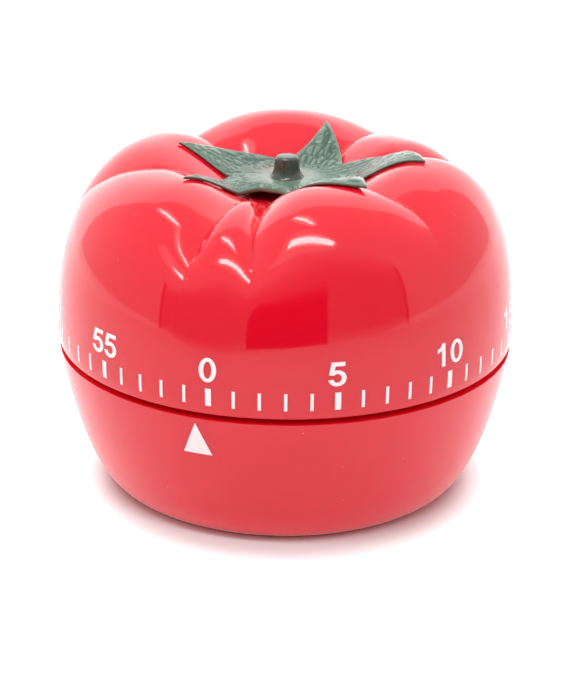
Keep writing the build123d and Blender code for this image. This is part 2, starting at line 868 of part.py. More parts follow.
main_wheel_phase = direction(centre, second_at)
wheel("main_wheel", centre, main_wheel_bottom, main_wheel_thickness, main_module, main_wheel_phase,
      main_body_radius + running_clearance, click_pad_reach, 2.6,
      [click_pad_angle + 60 * hole for hole in range(1, 6)])

with BuildPart() as click:
    with BuildSketch(Plane.XY.offset(ratchet_bottom)):
        with BuildLine():
            Polyline(
                polar(ratchet_root_radius + 0.15, click_angle + 5.5),
                polar(ratchet_tip_radius + 0.25, click_angle + 3.0),
                polar(ratchet_tip_radius + 1.2, click_angle + 28),
                polar(click_pad_reach + 0.9, click_pad_angle),
                polar(click_pad_reach - 0.9, click_pad_angle),
                polar(ratchet_tip_radius + 0.4, click_angle + 28),
                polar(ratchet_root_radius + 0.3, click_angle + 9),
                close=True,
            )
        make_face()
    extrude(amount=ratchet_thickness)
    with BuildSketch(Plane.XY.offset(main_wheel_top)):
        with Locations(click_pad_at):
            Circle(click_pad_radius)
    extrude(amount=ratchet_top - main_wheel_top)
    with BuildSketch(Plane.XY.offset(main_wheel_top)):
        with Locations(click_pad_at):
            Circle(click_rivet_radius)
    extrude(amount=ratchet_top - main_wheel_top, mode=Mode.SUBTRACT)
write(click.part, "click")

with BuildPart() as click_rivet:
    with BuildSketch(Plane.XY.offset(main_wheel_top)):
        with Locations(click_pad_at):
            Circle(click_rivet_radius - seat_clearance)
    extrude(amount=ratchet_top - main_wheel_top)
    with BuildSketch(Plane.XY.offset(ratchet_top)):
        with Locations(click_pad_at):
            Circle(click_rivet_head_radius)
    extrude(amount=click_rivet_head_height)
write(click_rivet.part, "click_rivet")

# ---------------------------------------------------------------------------
# Going train: second, third and escape arbors, and the striking arbor
# ---------------------------------------------------------------------------
train_crossings = [0, 72, 144, 216, 288]
crossing_reach = 5.4
crossing_radius = 2.1
second_phase = direction(second_at, third_at)
third_phase = direction(third_at, escape_at)

arbor("second_arbor", second_at)
pinion("second_pinion", second_at, main_wheel_bottom, main_wheel_thickness, main_module,
       pinion_phase(main_wheel_phase, direction(centre, second_at)))
wheel("second_wheel", second_at, second_wheel_bottom, wheel_thickness, train_module, second_phase,
      arbor_bore_radius, crossing_reach, crossing_radius, train_crossings)

arbor("third_arbor", third_at)
pinion("third_pinion", third_at, second_wheel_bottom, wheel_thickness, train_module,
       pinion_phase(second_phase, second_phase))
wheel("third_wheel", third_at, third_wheel_bottom, wheel_thickness, train_module, third_phase,
      arbor_bore_radius, crossing_reach, crossing_radius, train_crossings)

arbor("escape_arbor", escape_at)
pinion("escape_pinion", escape_at, third_wheel_bottom, wheel_thickness, train_module,
       pinion_phase(third_phase, third_phase))
toothed_disc("escape_wheel", escape_at, escape_bottom, wheel_thickness, escape_teeth,
             escape_root_radius, escape_tip_radius, 0.15, 0.45, 0, arbor_bore_radius)

arbor("star_arbor", star_at)
pinion("star_pinion", star_at, main_wheel_bottom, main_wheel_thickness, main_module,
       pinion_phase(main_wheel_phase, direction(centre, star_at)))
toothed_disc("star_wheel", star_at, star_bottom, star_thickness, star_teeth,
             star_root_radius, star_tip_radius, 0.4, 0.6, direction(star_at, hammer_at),
             arbor_bore_radius)

# ---------------------------------------------------------------------------
# Balance with its two pallet pins
# ---------------------------------------------------------------------------
arbor("balance_staff", balance_at)

with BuildPart() as balance_wheel:
    with BuildSketch(Plane.XY.offset(balance_bottom)):
        with Locations(balance_at):
            Circle(balance_radius)
            Circle(balance_radius - balance_rim_width, mode=Mode.SUBTRACT)
            Circle(2 * arbor_radius)
            Rectangle(2 * balance_radius - balance_rim_width, balance_rim_width)
            Circle(arbor_bore_radius, mode=Mode.SUBTRACT)
    extrude(amount=balance_thickness)
write(balance_wheel.part, "balance_wheel")

pallet_line = direction(balance_at, escape_at)
pallet_bottom = escape_bottom + wheel_thickness + free_gap
pin_places = []
for pin_side in (-1, 1):
    pin_x, pin_y = polar(pallet_pin_reach, pallet_line + pin_side * pallet_pin_spread)
    pin_places.append((balance_at[0] + pin_x, balance_at[1] + pin_y))
with BuildPart() as pallet_fork:
    with BuildSketch(Plane.XY.offset(pallet_bottom)):
        with Locations(balance_at):
            Circle(2 * arbor_radius)
        for pin_side in (-1, 1):
            bar(balance_at, pallet_pin_reach, pallet_line + pin_side * pallet_pin_spread, 1.2)
        with Locations(balance_at):
            Circle(arbor_bore_radius, mode=Mode.SUBTRACT)
        with Locations(*pin_places):
            Circle(pallet_pin_radius, mode=Mode.SUBTRACT)
    extrude(amount=pallet_thickness)
write(pallet_fork.part, "pallet_fork")

with BuildPart() as pallet_pins:
    with BuildSketch(Plane.XY.offset(escape_bottom - free_gap)):
        with Locations(*pin_places):
            Circle(pallet_pin_radius)
    extrude(amount=pallet_bottom + pallet_thickness - escape_bottom + free_gap)
write(pallet_pins.part, "pallet_pins")

# ---------------------------------------------------------------------------
# Hammer: an arm and head under the bottom plate, a tail at the star wheel, a crank on top
# ---------------------------------------------------------------------------
with BuildPart() as hammer_arbor:
    with BuildSketch(Plane.XY.offset(hammer_arm_bottom)):
        with Locations(hammer_at):
            Circle(arbor_radius)
    extrude(amount=cam_top - hammer_arm_bottom)
write(hammer_arbor.part, "hammer_arbor")

hammer_arm_length = hypot(hammer_head_at[0] - hammer_at[0], hammer_head_at[1] - hammer_at[1])
hammer_arm_angle = direction(hammer_at, hammer_head_at)
head_spigot_radius = hammer_head_radius / 2
with BuildPart() as hammer_arm:
    with BuildSketch(Plane.XY.offset(hammer_arm_bottom)):
        bar(hammer_at, hammer_arm_length, hammer_arm_angle, hammer_bar_width)
        with Locations(hammer_at, hammer_head_at):
            Circle(hammer_bar_width)
        with Locations(hammer_at):
            Circle(arbor_bore_radius, mode=Mode.SUBTRACT)
        with Locations(hammer_head_at):
            Circle(head_spigot_radius + seat_clearance, mode=Mode.SUBTRACT)
    extrude(amount=hammer_arm_thickness)
write(hammer_arm.part, "hammer_arm")

with BuildPart() as hammer_head:
    with BuildSketch(Plane.XY.offset(hammer_arm_bottom)):
        with Locations(hammer_head_at):
            Circle(hammer_head_radius)
    extrude(amount=-hammer_head_height)
    with BuildSketch(Plane.XY.offset(hammer_arm_bottom)):
        with Locations(hammer_head_at):
            Circle(head_spigot_radius)
    extrude(amount=hammer_arm_thickness)
write(hammer_head.part, "hammer_head")

with BuildPart() as hammer_tail:
    with BuildSketch(Plane.XY.offset(star_bottom)):
        bar(hammer_at, hammer_tail_length - 0.5, direction(hammer_at, star_at), 1.0)
        with Locations(hammer_at):
            Circle(hammer_bar_width)
            Circle(arbor_bore_radius, mode=Mode.SUBTRACT)
    extrude(amount=star_thickness)
write(hammer_tail.part, "hammer_tail")

hub_side = direction(hammer_at, hammer_stud_at) + 60
leaf_gap = running_clearance + leaf_thickness / 2
hub_x, hub_y = polar(hammer_bar_width + leaf_gap, hub_side)
leaf_spring("hammer_spring", hammer_stud_at, (hammer_at[0] + hub_x, hammer_at[1] + hub_y),
            plate_top, star_bottom)

# ---------------------------------------------------------------------------
# Trip lever on its post, and the alarm cam
# ---------------------------------------------------------------------------
nose_at = polar(cam_radius + trip_nose_gap + trip_nose_radius, trip_nose_angle)
nose_length = hypot(nose_at[0] - trip_at[0], nose_at[1] - trip_at[1])
tail_angle = direction(trip_at, hammer_at)

with BuildPart() as hammer_crank:
    with BuildSketch(Plane.XY.offset(cam_bottom)):
        bar(hammer_at, hammer_crank_length, tail_angle + 180, hammer_bar_width)
        with Locations(hammer_at):
            Circle(hammer_bar_width)
            Circle(arbor_bore_radius, mode=Mode.SUBTRACT)
    extrude(amount=cam_thickness)
write(hammer_crank.part, "hammer_crank")

with BuildPart() as trip_lever:
    with BuildSketch(Plane.XY.offset(cam_bottom)):
        bar(trip_at, nose_length, direction(trip_at, nose_at), 2 * trip_nose_radius)
        bar(trip_at, trip_tail_length, tail_angle, trip_width)
        with Locations(trip_at):
            Circle(trip_post_radius + 1.0)
            Circle(trip_post_radius + running_clearance, mode=Mode.SUBTRACT)
    extrude(amount=cam_thickness)
write(trip_lever.part, "trip_lever")

tail_x, tail_y = polar(trip_tail_length / 2, tail_angle)
side_x, side_y = polar(trip_width / 2 + leaf_gap, tail_angle + 90)
leaf_spring("trip_spring", trip_stud_at, (trip_at[0] + tail_x + side_x, trip_at[1] + tail_y + side_y),
            top_plate_top, cam_bottom)

with BuildPart() as trip_post:
    with BuildSketch(Plane.XZ):
        with BuildLine():
            Polyline(
                (0, top_plate_bottom),
                (trip_post_radius / 2, top_plate_bottom),
                (trip_post_radius / 2, top_plate_top),
                (trip_post_radius + 0.6, top_plate_top),
                (trip_post_radius + 0.6, cam_bottom - 0.1),
                (trip_post_radius, cam_bottom - 0.1),
                (trip_post_radius, cam_top + 0.1),
                (trip_post_radius + 0.6, cam_top + 0.1),
                (trip_post_radius + 0.6, cam_top + 0.6),
                (0, cam_top + 0.6),
                close=True,
            )
        make_face()
    revolve(axis=Axis.Z)
trip_post.part.position = (trip_at[0], trip_at[1], 0)
write(trip_post.part, "trip_post")

# The notch lets the nose in at both ends of the dial's travel.
nose_share = degrees(trip_nose_radius / cam_radius)
nose_swing = degrees(radians(trip_drop) * nose_length / cam_radius)
notch_start = trip_nose_angle - (360 - dial_travel) - nose_share - 2
notch_end = trip_nose_angle + nose_swing + nose_share + 2
notch_depth_radius = cam_radius - cam_notch_depth
with BuildPart() as alarm_cam:
    with BuildSketch(Plane.XY.offset(cam_bottom)):
        Circle(cam_radius)
        with BuildLine():
            Polyline(
                polar(notch_depth_radius, notch_start),
                polar(notch_depth_radius, (notch_start + notch_end) / 2),
                polar(notch_depth_radius, notch_end),
                polar(cam_radius + 1, notch_end),
                polar(cam_radius + 1.3, (notch_start + notch_end) / 2),
                polar(cam_radius + 1, notch_start),
                close=True,
            )
        make_face(mode=Mode.SUBTRACT)
        Circle(main_journal_radius + seat_clearance, mode=Mode.SUBTRACT)
    extrude(amount=cam_thickness)
    with BuildSketch(Plane.XY.offset(cam_bottom)):
        Circle(cam_hub_radius)
        Circle(main_journal_radius + seat_clearance, mode=Mode.SUBTRACT)
    extrude(amount=-cam_hub_height)
write(alarm_cam.part, "alarm_cam")

# ---------------------------------------------------------------------------
# Dial shell with its drive hub and stop rib
# ---------------------------------------------------------------------------
rib_offset = (360 - dial_travel) / 2
rib_thickness = 2 * (stop_pin_reach * radians(rib_offset) - stop_pin_radius - stop_clearance)
rib_angle = stop_pin_angle - rib_offset
rib_bottom = top_plate_top + stop_pin_rise - stop_pin_overlap
rib_middle = polar((stop_rib_inner_radius + dial_edge_radius) / 2, rib_angle)

with BuildPart() as stop_rib:
    with BuildSketch(Plane.XY.offset(rib_bottom)):
        with Locations(Location((rib_middle[0], rib_middle[1], 0), (0, 0, rib_angle))):
            Rectangle(dial_edge_radius - stop_rib_inner_radius, rib_thickness)
    extrude(amount=dimple_height - rib_bottom)
    add(outer_skin, mode=Mode.INTERSECT)

peg_places = [polar(peg_reach, peg_angle), polar(peg_reach, peg_angle + 180)]
dial_screw_seat = dimple_height - 1.4
with BuildPart() as dial_shell:
    add(outer_skin)
    add(inner_skin, mode=Mode.SUBTRACT)
    add(stop_rib.part)
    with BuildSketch(Plane.XY.offset(hub_bottom)):
        Circle(hub_radius)
    extrude(amount=hub_length + dial_wall / 2)
    with BuildSketch(Plane.XY.offset(hub_bottom)):
        Circle(main_journal_radius + seat_clearance)
        with Locations((main_flat + seat_clearance + main_journal_radius / 2, 0)):
            Rectangle(main_journal_radius, 3 * main_journal_radius, mode=Mode.SUBTRACT)
    extrude(amount=arbor_top + free_gap - hub_bottom, mode=Mode.SUBTRACT)
    with BuildSketch(Plane.XY.offset(hub_bottom)):
        Circle(screw_radius + running_clearance)
    extrude(amount=dimple_height + 1 - hub_bottom, mode=Mode.SUBTRACT)
    with BuildSketch(Plane.XY.offset(dial_screw_seat)):
        Circle(screw_head_radius + free_gap)
    extrude(amount=dimple_height + 1 - dial_screw_seat, mode=Mode.SUBTRACT)
    with BuildSketch(Plane.XY.offset(dial_floor_underside - 1)):
        with Locations(*peg_places):
            Circle(peg_radius + peg_clearance)
    extrude(amount=dial_wall + 4, mode=Mode.SUBTRACT)
write(dial_shell.part, "dial_shell")

dial_screw_length = dial_screw_seat - arbor_top + screw_bore_depth - 1
screws("dial_screw", [centre], dial_screw_seat, 1, dial_screw_length, screw_head_radius)

# ---------------------------------------------------------------------------
# Calyx: a star cut out of a skin that hugs the dimple, with the stem and two pegs
# ---------------------------------------------------------------------------
with BuildPart() as calyx:
    with BuildSketch(Plane.XY.offset(dimple_height - 1)):
        with BuildLine():
            hollow = polar(*sepals[-1][3])
            for row in sepals:
                before, tip, after, next_hollow = (polar(reach, angle) for reach, angle in row)
                Spline(hollow, before, tip)
                Spline(tip, after, next_hollow)
                hollow = next_hollow
        make_face()
    extrude(amount=12)
    add(skin_solid(calyx_seat + calyx_thickness, calyx_crease_share, *coarse_rings), mode=Mode.INTERSECT)
    add(skin_solid(calyx_seat, calyx_crease_share, *coarse_rings), mode=Mode.SUBTRACT)
    with BuildSketch(Plane.XZ):
        stem_base = dimple_height + calyx_seat + calyx_thickness / 2
        stem_top = dimple_height + calyx_seat + calyx_thickness + stem_rise
        with BuildLine():
            Polyline((0, stem_base), (stem_foot_radius, stem_base))
            Spline(
                (stem_foot_radius, stem_base),
                (stem_radius + 0.15, stem_base + 1.4),
                (stem_radius, stem_top - stem_rounding),
            )
            RadiusArc(
                (stem_radius, stem_top - stem_rounding),
                (stem_radius - stem_rounding, stem_top),
                -stem_rounding,
            )
            Polyline((stem_radius - stem_rounding, stem_top), (0, stem_top), (0, stem_base))
        make_face()
    revolve(axis=Axis.Z)
    with BuildSketch(Plane.XY.offset(dial_floor_underside - 0.5)):
        with Locations(*peg_places):
            Circle(peg_radius)
    extrude(amount=dial_wall + 0.5 + calyx_seat + calyx_thickness / 2)
write(calyx.part, "calyx")
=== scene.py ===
import json
import math
from functools import partial
import bmesh
import bpy
import numpy as np
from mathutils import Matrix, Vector
from mathutils.bvhtree import BVHTree
from mathutils.kdtree import KDTree

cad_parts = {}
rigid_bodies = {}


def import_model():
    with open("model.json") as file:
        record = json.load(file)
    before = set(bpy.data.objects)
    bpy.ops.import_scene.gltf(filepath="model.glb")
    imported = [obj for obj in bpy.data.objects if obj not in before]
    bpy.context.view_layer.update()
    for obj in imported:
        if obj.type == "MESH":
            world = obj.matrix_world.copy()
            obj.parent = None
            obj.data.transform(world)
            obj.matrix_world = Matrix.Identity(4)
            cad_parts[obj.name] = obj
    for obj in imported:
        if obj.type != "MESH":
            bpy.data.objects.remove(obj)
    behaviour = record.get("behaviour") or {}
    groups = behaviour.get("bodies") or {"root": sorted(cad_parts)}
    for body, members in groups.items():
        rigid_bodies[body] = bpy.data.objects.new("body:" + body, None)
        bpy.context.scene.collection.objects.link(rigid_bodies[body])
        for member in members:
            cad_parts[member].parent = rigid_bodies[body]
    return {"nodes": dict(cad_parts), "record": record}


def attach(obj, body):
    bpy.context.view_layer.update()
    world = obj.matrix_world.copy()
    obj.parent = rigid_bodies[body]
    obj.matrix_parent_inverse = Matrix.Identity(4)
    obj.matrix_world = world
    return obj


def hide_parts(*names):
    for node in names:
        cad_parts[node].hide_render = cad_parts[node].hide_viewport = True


for leftover in list(bpy.data.objects):
    bpy.data.objects.remove(leftover)  # a new file's cube, lamp and camera

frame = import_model()
nodes = frame["nodes"]
bpy.context.view_layer.update()
mm = 0.001
print("frame:", len(nodes), "CAD nodes")

# ---- small helpers ----


def show(piece):
    bpy.context.scene.collection.objects.link(piece)
    return piece


def meshObject(name, points, faces, smooth=True):
    mesh = bpy.data.meshes.new(name)
    mesh.from_pydata([tuple(p) for p in points], [], [tuple(f) for f in faces])
    mesh.validate()
    mesh.update()
    if smooth:
        mesh.shade_smooth()
    return show(bpy.data.objects.new(name, mesh))


def paint(piece, material):
    piece.data.materials.clear()
    piece.data.materials.append(material)


def fromPointer(azimuth):
    return math.radians(azimuth - 90)


def between(low, high, share):
    return low + (high - low) * share


def reached(value, start, span):  # how far a value has come over a span, from 0 to 1
    return min(max((value - start) / span, 0), 1)


def band(low, high, columns):  # faces between two closed rings, each named by its first point
    return [(low + k, low + (k + 1) % columns, high + (k + 1) % columns, high + k) for k in range(columns)]


def fan(ring, columns, centre):  # faces from a closed ring to one point
    return [(ring + k, ring + (k + 1) % columns, centre) for k in range(columns)]


def wrapRows(rows, columns, first=0):  # faces between closed rings, first ring outside or below
    return [face for row in range(rows - 1)
            for face in band(first + row * columns, first + (row + 1) * columns, columns)]


def turned(faces):
    return [tuple(reversed(face)) for face in faces]


def feed(tree, value, socket):  # sockets and nodes' first outputs are wired, anything else is set
    if isinstance(value, bpy.types.Node):
        value = value.outputs[0]
    if isinstance(value, bpy.types.NodeSocket):
        tree.links.new(value, socket)
    elif socket.type == "RGBA" and len(value) == 3:
        socket.default_value = (*value, 1)
    else:
        socket.default_value = value


def fill(tree, node, values):
    for title, value in values.items():
        feed(tree, value, node.inputs[title])


def addNode(tree, kind, inputs=None, **settings):
    node = tree.nodes.new(kind)
    for name, value in settings.items():
        setattr(node, name, value)
    fill(tree, node, inputs or {})
    return node


def mathNode(tree, operation, *values, clamp=False):
    return addNode(tree, "ShaderNodeMath", dict(enumerate(values)), operation=operation, use_clamp=clamp)


def vectorNode(tree, *values):
    return addNode(tree, "ShaderNodeCombineXYZ", dict(enumerate(values)))


def toolsFor(tree):  # nodes and sums for one tree
    return partial(addNode, tree), partial(mathNode, tree)


def newTree(name, kind, inputs, outputs):  # an input is a kind of socket, or a number to start from
    tree = bpy.data.node_groups.new(name, kind)
    for title, given in inputs.items():
        plain = isinstance(given, float)
        socket = tree.interface.new_socket(title, in_out="INPUT",
                                           socket_type="NodeSocket" + ("Float" if plain else given))
        if plain:
            socket.default_value = given
    for title, given in outputs.items():
        tree.interface.new_socket(title, in_out="OUTPUT", socket_type="NodeSocket" + given)
    return tree, tree.nodes.new("NodeGroupInput").outputs


def dress(piece, tree, values):  # runs a tree over a piece and keeps the result as the piece's mesh
    modifier = piece.modifiers.new(tree.name, "NODES")
    modifier.node_group = tree
    sockets = {item.name: item.identifier for item in tree.interface.items_tree if item.in_out == "INPUT"}
    for title, value in values.items():
        modifier[sockets[title]] = value
    bpy.context.view_layer.update()
    shape = piece.evaluated_get(bpy.context.evaluated_depsgraph_get())
    made = bpy.data.meshes.new_from_object(shape)
    piece.modifiers.remove(modifier)
    before, piece.data = piece.data, made
    bpy.data.meshes.remove(before)
    made.name = piece.name


# ---- camera ----
shot = {
    "azimuth": 21.2,  # degrees counterclockwise from the pointer, seen from above
    "elevation": 21.36,
    "distance": 299.0,  # mm from the seam's centre
    "seamHeight": 22.1,
    "aimHeight": 19.78,
    "roll": 0.57,
    "lens": 103.55,
    "sensor": 36,
}


def makeCamera(values):
    side, up = math.radians(values["azimuth"]), math.radians(values["elevation"])
    away = Vector((math.sin(side) * math.cos(up), -math.cos(side) * math.cos(up), math.sin(up)))
    place = Vector((0, 0, values["seamHeight"])) + away * values["distance"]
    aim = Vector((0, 0, values["aimHeight"])) - place
    data = bpy.data.cameras.new("shotCamera")
    data.lens = values["lens"]
    data.sensor_width = values["sensor"]
    camera = show(bpy.data.objects.new("shotCamera", data))
    camera.location = place * mm
    camera.rotation_euler = aim.to_track_quat("-Z", "Y").to_euler()
    camera.rotation_euler.rotate_axis("Z", math.radians(values["roll"]))
    bpy.context.scene.camera = camera
    return away


towardsCamera = makeCamera(shot)
print("camera: set")

# ---- the lobed skin of the dial ----
# A step says how far along a section a point lies: 0 to 1 up the printed band, 1 to 2 over the
# shoulder to the crest, 2 to 3 down to the floor of the hollow.
dial = {
    "edgeRadius": 34.0,
    "edgeHeight": 22.1,
    "edgeDrop": 0.22,  # how far the rim hangs under the height that the scale is set from
    "edgeRounding": 0.3,
    "edgeTurns": (0, 22.5, 45, 67.5, 90),
    "widest": 34.25,
    "bandHeight": 2.4,
    "shoulderPower": 2.24,
    "lobePower": 2.42,
    "hollowHeight": 21.35,
    "hollowRadius": 4.0,
    "floorRings": (0.6, 0.25),  # of the hollow's radius
    "creaseRadius": 19.1,
    "creasePower": 2.63,
    "fadeSpan": 0.37,
    "driftStart": 1.55,
    "driftSpan": 1.45,
    "wall": 2.0,
    "columns": 68,  # in each lobe
    "bandRows": 5,
    "shoulderRows": 74,
    "hollowRows": 56,
    "innerShoulderRows": 26,
    "innerHollowRows": 14,
    # Azimuth of the crease at its start, its drift, height, shoulder depth and the step where it
    # begins, then the height and radius of the lobe's crest.
    "lobes": [
        (12.2, -11.0, 23.2, 2.6, 1.315, 28.0, 19.3),
        (65.2, 0.0, 25.8, 0.9, 1.36, 28.4, 20.3),
        (121.2, 0.0, 22.5, 0.9, 1.36, 26.8, 18.8),
        (166.2, 0.0, 25.5, 0.9, 1.36, 28.7, 19.1),
        (238.2, 0.0, 24.4, 0.9, 1.36, 27.3, 20.8),
        (293.2, 0.0, 25.3, 0.9, 1.36, 26.8, 19.3),
        (354.2, -3.0, 22.8, 3.8, 1.34, 24.9, 17.6),
    ],
}
tiny = 1e-4  # of a step, for slopes


def meridian(step, crest, crestRadius, widest, power):
    lean = 1 - (1 - np.minimum(step, 1)) ** 2
    turn = np.clip(step - 1, 0, 1) * math.pi / 2
    slope = np.clip(step - 2, 0, 1)
    bandRadius = between(dial["edgeRadius"], widest, lean)
    bandHeight = dial["bandHeight"] * np.minimum(step, 1)
    roundRadius = between(crestRadius, widest, np.abs(np.cos(turn)) ** (2 / power))
    roundHeight = between(dial["bandHeight"], crest, np.abs(np.sin(turn)) ** (2 / power))
    hollowRadius = between(crestRadius, dial["hollowRadius"], slope)
    hollowHeight = between(dial["hollowHeight"], crest, 0.5 + 0.5 * np.cos(math.pi * slope))
    radius = np.where(step <= 1, bandRadius, np.where(step <= 2, roundRadius, hollowRadius))
    height = np.where(step <= 1, bandHeight, np.where(step <= 2, roundHeight, hollowHeight))
    return radius, height


def grownMeridian(step, grow, *form):
    radius, height = meridian(step, *form)
    before = meridian(step - tiny, *form)
    after = meridian(np.minimum(step + tiny, 3), *form)
    run, rise = after[0] - before[0], after[1] - before[1]
    length = np.hypot(run, rise)
    outward = np.where(step < 1, 1, np.where(step >= 3, 0, rise / length))
    upward = np.where(step < 1, 0, np.where(step >= 3, 1, -run / length))
    return radius + grow * outward, height + grow * upward


def skinGrid(steps, columns, grow=0.0, creaseShare=1.0):  # rows of points, in mm
    step = np.asarray(steps, float)[:, None]
    across = np.sin(np.linspace(-1, 1, columns, endpoint=False) * math.pi / 2)[None, :]
    lobes, widest, power = dial["lobes"], dial["widest"], dial["shoulderPower"]
    sections = []
    for number, (start, startDrift, *startCrease, crest, crestRadius) in enumerate(lobes):
        end, endDrift, *endCrease, endCrest, endRadius = lobes[(number + 1) % len(lobes)]
        lastCrest, lastRadius = lobes[number - 1][-2:]
        left = across < 0
        on = grownMeridian(step, grow, crest, crestRadius, widest, power)
        shared = [grownMeridian(step, grow, (crest + c) / 2, (crestRadius + r) / 2, widest, power)
                  for c, r in ((lastCrest, lastRadius), (endCrest, endRadius))]
        low = [grownMeridian(step, grow, height, dial["creaseRadius"], widest - depth, dial["creasePower"])
               for height, depth, begin in (startCrease, endCrease)]
        begin = np.where(left, startCrease[2], endCrease[2])
        fade = np.clip((step - begin) / dial["fadeSpan"], 0, 1)
        fade = fade * fade * (3 - 2 * fade) * creaseShare
        weight = np.abs(across) ** dial["lobePower"]
        out = []
        for axis in (0, 1):
            near = np.where(left, shared[0][axis], shared[1][axis])
            deep = np.where(left, low[0][axis], low[1][axis])
            out.append(between(on[axis], between(near, deep, fade), weight))
        inward = np.clip((step - dial["driftStart"]) / dial["driftSpan"], 0, 1)
        first = start + startDrift * inward
        last = end + endDrift * inward + (360 if end < start else 0)
        azimuth = np.radians(between(first, last, (across + 1) / 2) - 90)
        sections.append(np.stack([out[0] * np.cos(azimuth), out[0] * np.sin(azimuth),
                                  dial["edgeHeight"] + out[1]], axis=-1))
    return np.concatenate(sections, axis=1)


def makeDialSkin():
    columns = dial["columns"]
    outerSteps = np.concatenate([np.linspace(0, 1, dial["bandRows"])[1:-1],
                                 1 + np.linspace(0, 1, dial["shoulderRows"], endpoint=False),
                                 2 + np.linspace(0, 1, dial["hollowRows"])])
    innerSteps = np.concatenate([2 + np.linspace(1, 0, dial["innerHollowRows"]),
                                 1 + np.linspace(1, 0, dial["innerShoulderRows"])[1:]])
    outer = skinGrid(outerSteps, columns)
    inner = skinGrid(innerSteps, columns, grow=-dial["wall"])
    ring = skinGrid([0.0], columns)[0]
    unit = ring / np.hypot(ring[:, 0], ring[:, 1])[:, None]
    unit[:, 2] = 0

    def edgeRing(radius, height):
        rim = unit * radius
        rim[:, 2] = height
        return rim

    rounding = dial["edgeRounding"]
    low = dial["edgeHeight"] - dial["edgeDrop"]
    rows = [edgeRing(dial["edgeRadius"] - dial["wall"], low)]
    for turn in dial["edgeTurns"]:
        angle = math.radians(turn)
        rows.append(edgeRing(dial["edgeRadius"] - rounding * (1 - math.sin(angle)),
                             low + rounding * (1 - math.cos(angle))))
    rows += list(outer) + [outer[-1] * [s, s, 1] for s in dial["floorRings"]]
    peak = len(rows)
    rows += [inner[0] * [s, s, 1] for s in reversed(dial["floorRings"])] + list(inner)
    points = np.concatenate(rows)
    total = len(points) // len(rows)
    centres = [[0, 0, outer[-1][0][2]], [0, 0, inner[0][0][2]]]
    faces = wrapRows(peak, total) + wrapRows(len(rows) - peak, total, peak * total)
    faces += fan((peak - 1) * total, total, len(points)) + turned(fan(peak * total, total, len(points) + 1))
    faces += band((len(rows) - 1) * total, 0, total)
    return meshObject("dialSkin", np.concatenate([points, centres]) * mm, faces)


dialSkin = makeDialSkin()
print("dial skin:", len(dialSkin.data.polygons), "faces")

# ---- hub and stop rib, moulded in one with the dial ----
core = {
    "hubRadius": 5.0,
    "hubLength": 10.5,
    "hubChamfer": 0.3,
    "hubColumns": 48,
    "boreRadius": 2.02,
    "boreFlat": 1.42,
    "boreDepth": 9.8,
    "ribReach": 20.6,  # from the axis to the rib's inner edge
    "ribAngle": 327.0,
    "ribThickness": 1.05,
    "ribGap": 2.6,  # over the movement's top plate
    "wallSteps": (1, 2.6, 60),  # first and last step and number of rows, to find the dial's wall
    "wallColumns": 26,
}


def makeHub(values):
    columns, chamfer = values["hubColumns"], values["hubChamfer"]
    top = dial["edgeHeight"] + dial["hollowHeight"] - dial["wall"] / 2
    bottom = top - dial["wall"] / 2 - values["hubLength"]
    turns = np.linspace(0, 2 * math.pi, columns, endpoint=False)
    circle = np.stack([np.cos(turns), np.sin(turns)], axis=-1)
    bore = circle * values["boreRadius"]
    bore[:, 0] = np.minimum(bore[:, 0], values["boreFlat"])
    boreTop = bottom + values["boreDepth"]
    rings = [(circle * values["hubRadius"], top), (circle * values["hubRadius"], bottom + chamfer),
             (circle * (values["hubRadius"] - chamfer), bottom), (bore, bottom), (bore, boreTop)]
    points = [(x, y, z) for ring, z in rings for x, y in ring] + [(0, 0, top), (0, 0, boreTop)]
    faces = turned(wrapRows(len(rings), columns)) + fan(0, columns, len(points) - 2)
    faces += turned(fan((len(rings) - 1) * columns, columns, len(points) - 1))
    return meshObject("dialHub", np.array(points) * mm, faces, smooth=False)


def makeRib(values, floor):
    wall = skinGrid(np.linspace(*values["wallSteps"]), values["wallColumns"], grow=-dial["wall"] / 2)
    turns = np.degrees(np.arctan2(wall[..., 1], wall[..., 0])) % 360
    nearest = np.abs(turns - values["ribAngle"]).argmin(axis=1)
    edge = [wall[row, column] for row, column in enumerate(nearest)]
    edge = [(math.hypot(x, y), z) for x, y, z in edge]
    edge = [(reach, z) for reach, z in edge if z > floor and reach > values["ribReach"]]
    outline = [(values["ribReach"], floor), (edge[0][0], floor), *edge, (values["ribReach"], edge[-1][1])]
    angle = math.radians(values["ribAngle"])
    along = Vector((math.cos(angle), math.sin(angle), 0))
    across = Vector((-along.y, along.x, 0)) * values["ribThickness"] / 2
    points = [along * reach + across * side + Vector((0, 0, z)) for side in (-1, 1) for reach, z in outline]
    count = len(outline)
    faces = [tuple(range(count)), tuple(range(2 * count - 1, count - 1, -1))]
    faces += [(k, k + count, (k + 1) % count + count, (k + 1) % count) for k in range(count)]
    return meshObject("dialRib", np.array(points) * mm, faces, smooth=False)


dialHub = makeHub(core)
plateTop = max(vertex.co.z for vertex in nodes["top_plate"].data.vertices) / mm
dialRib = makeRib(core, plateTop + core["ribGap"])
print("hub and rib: made")

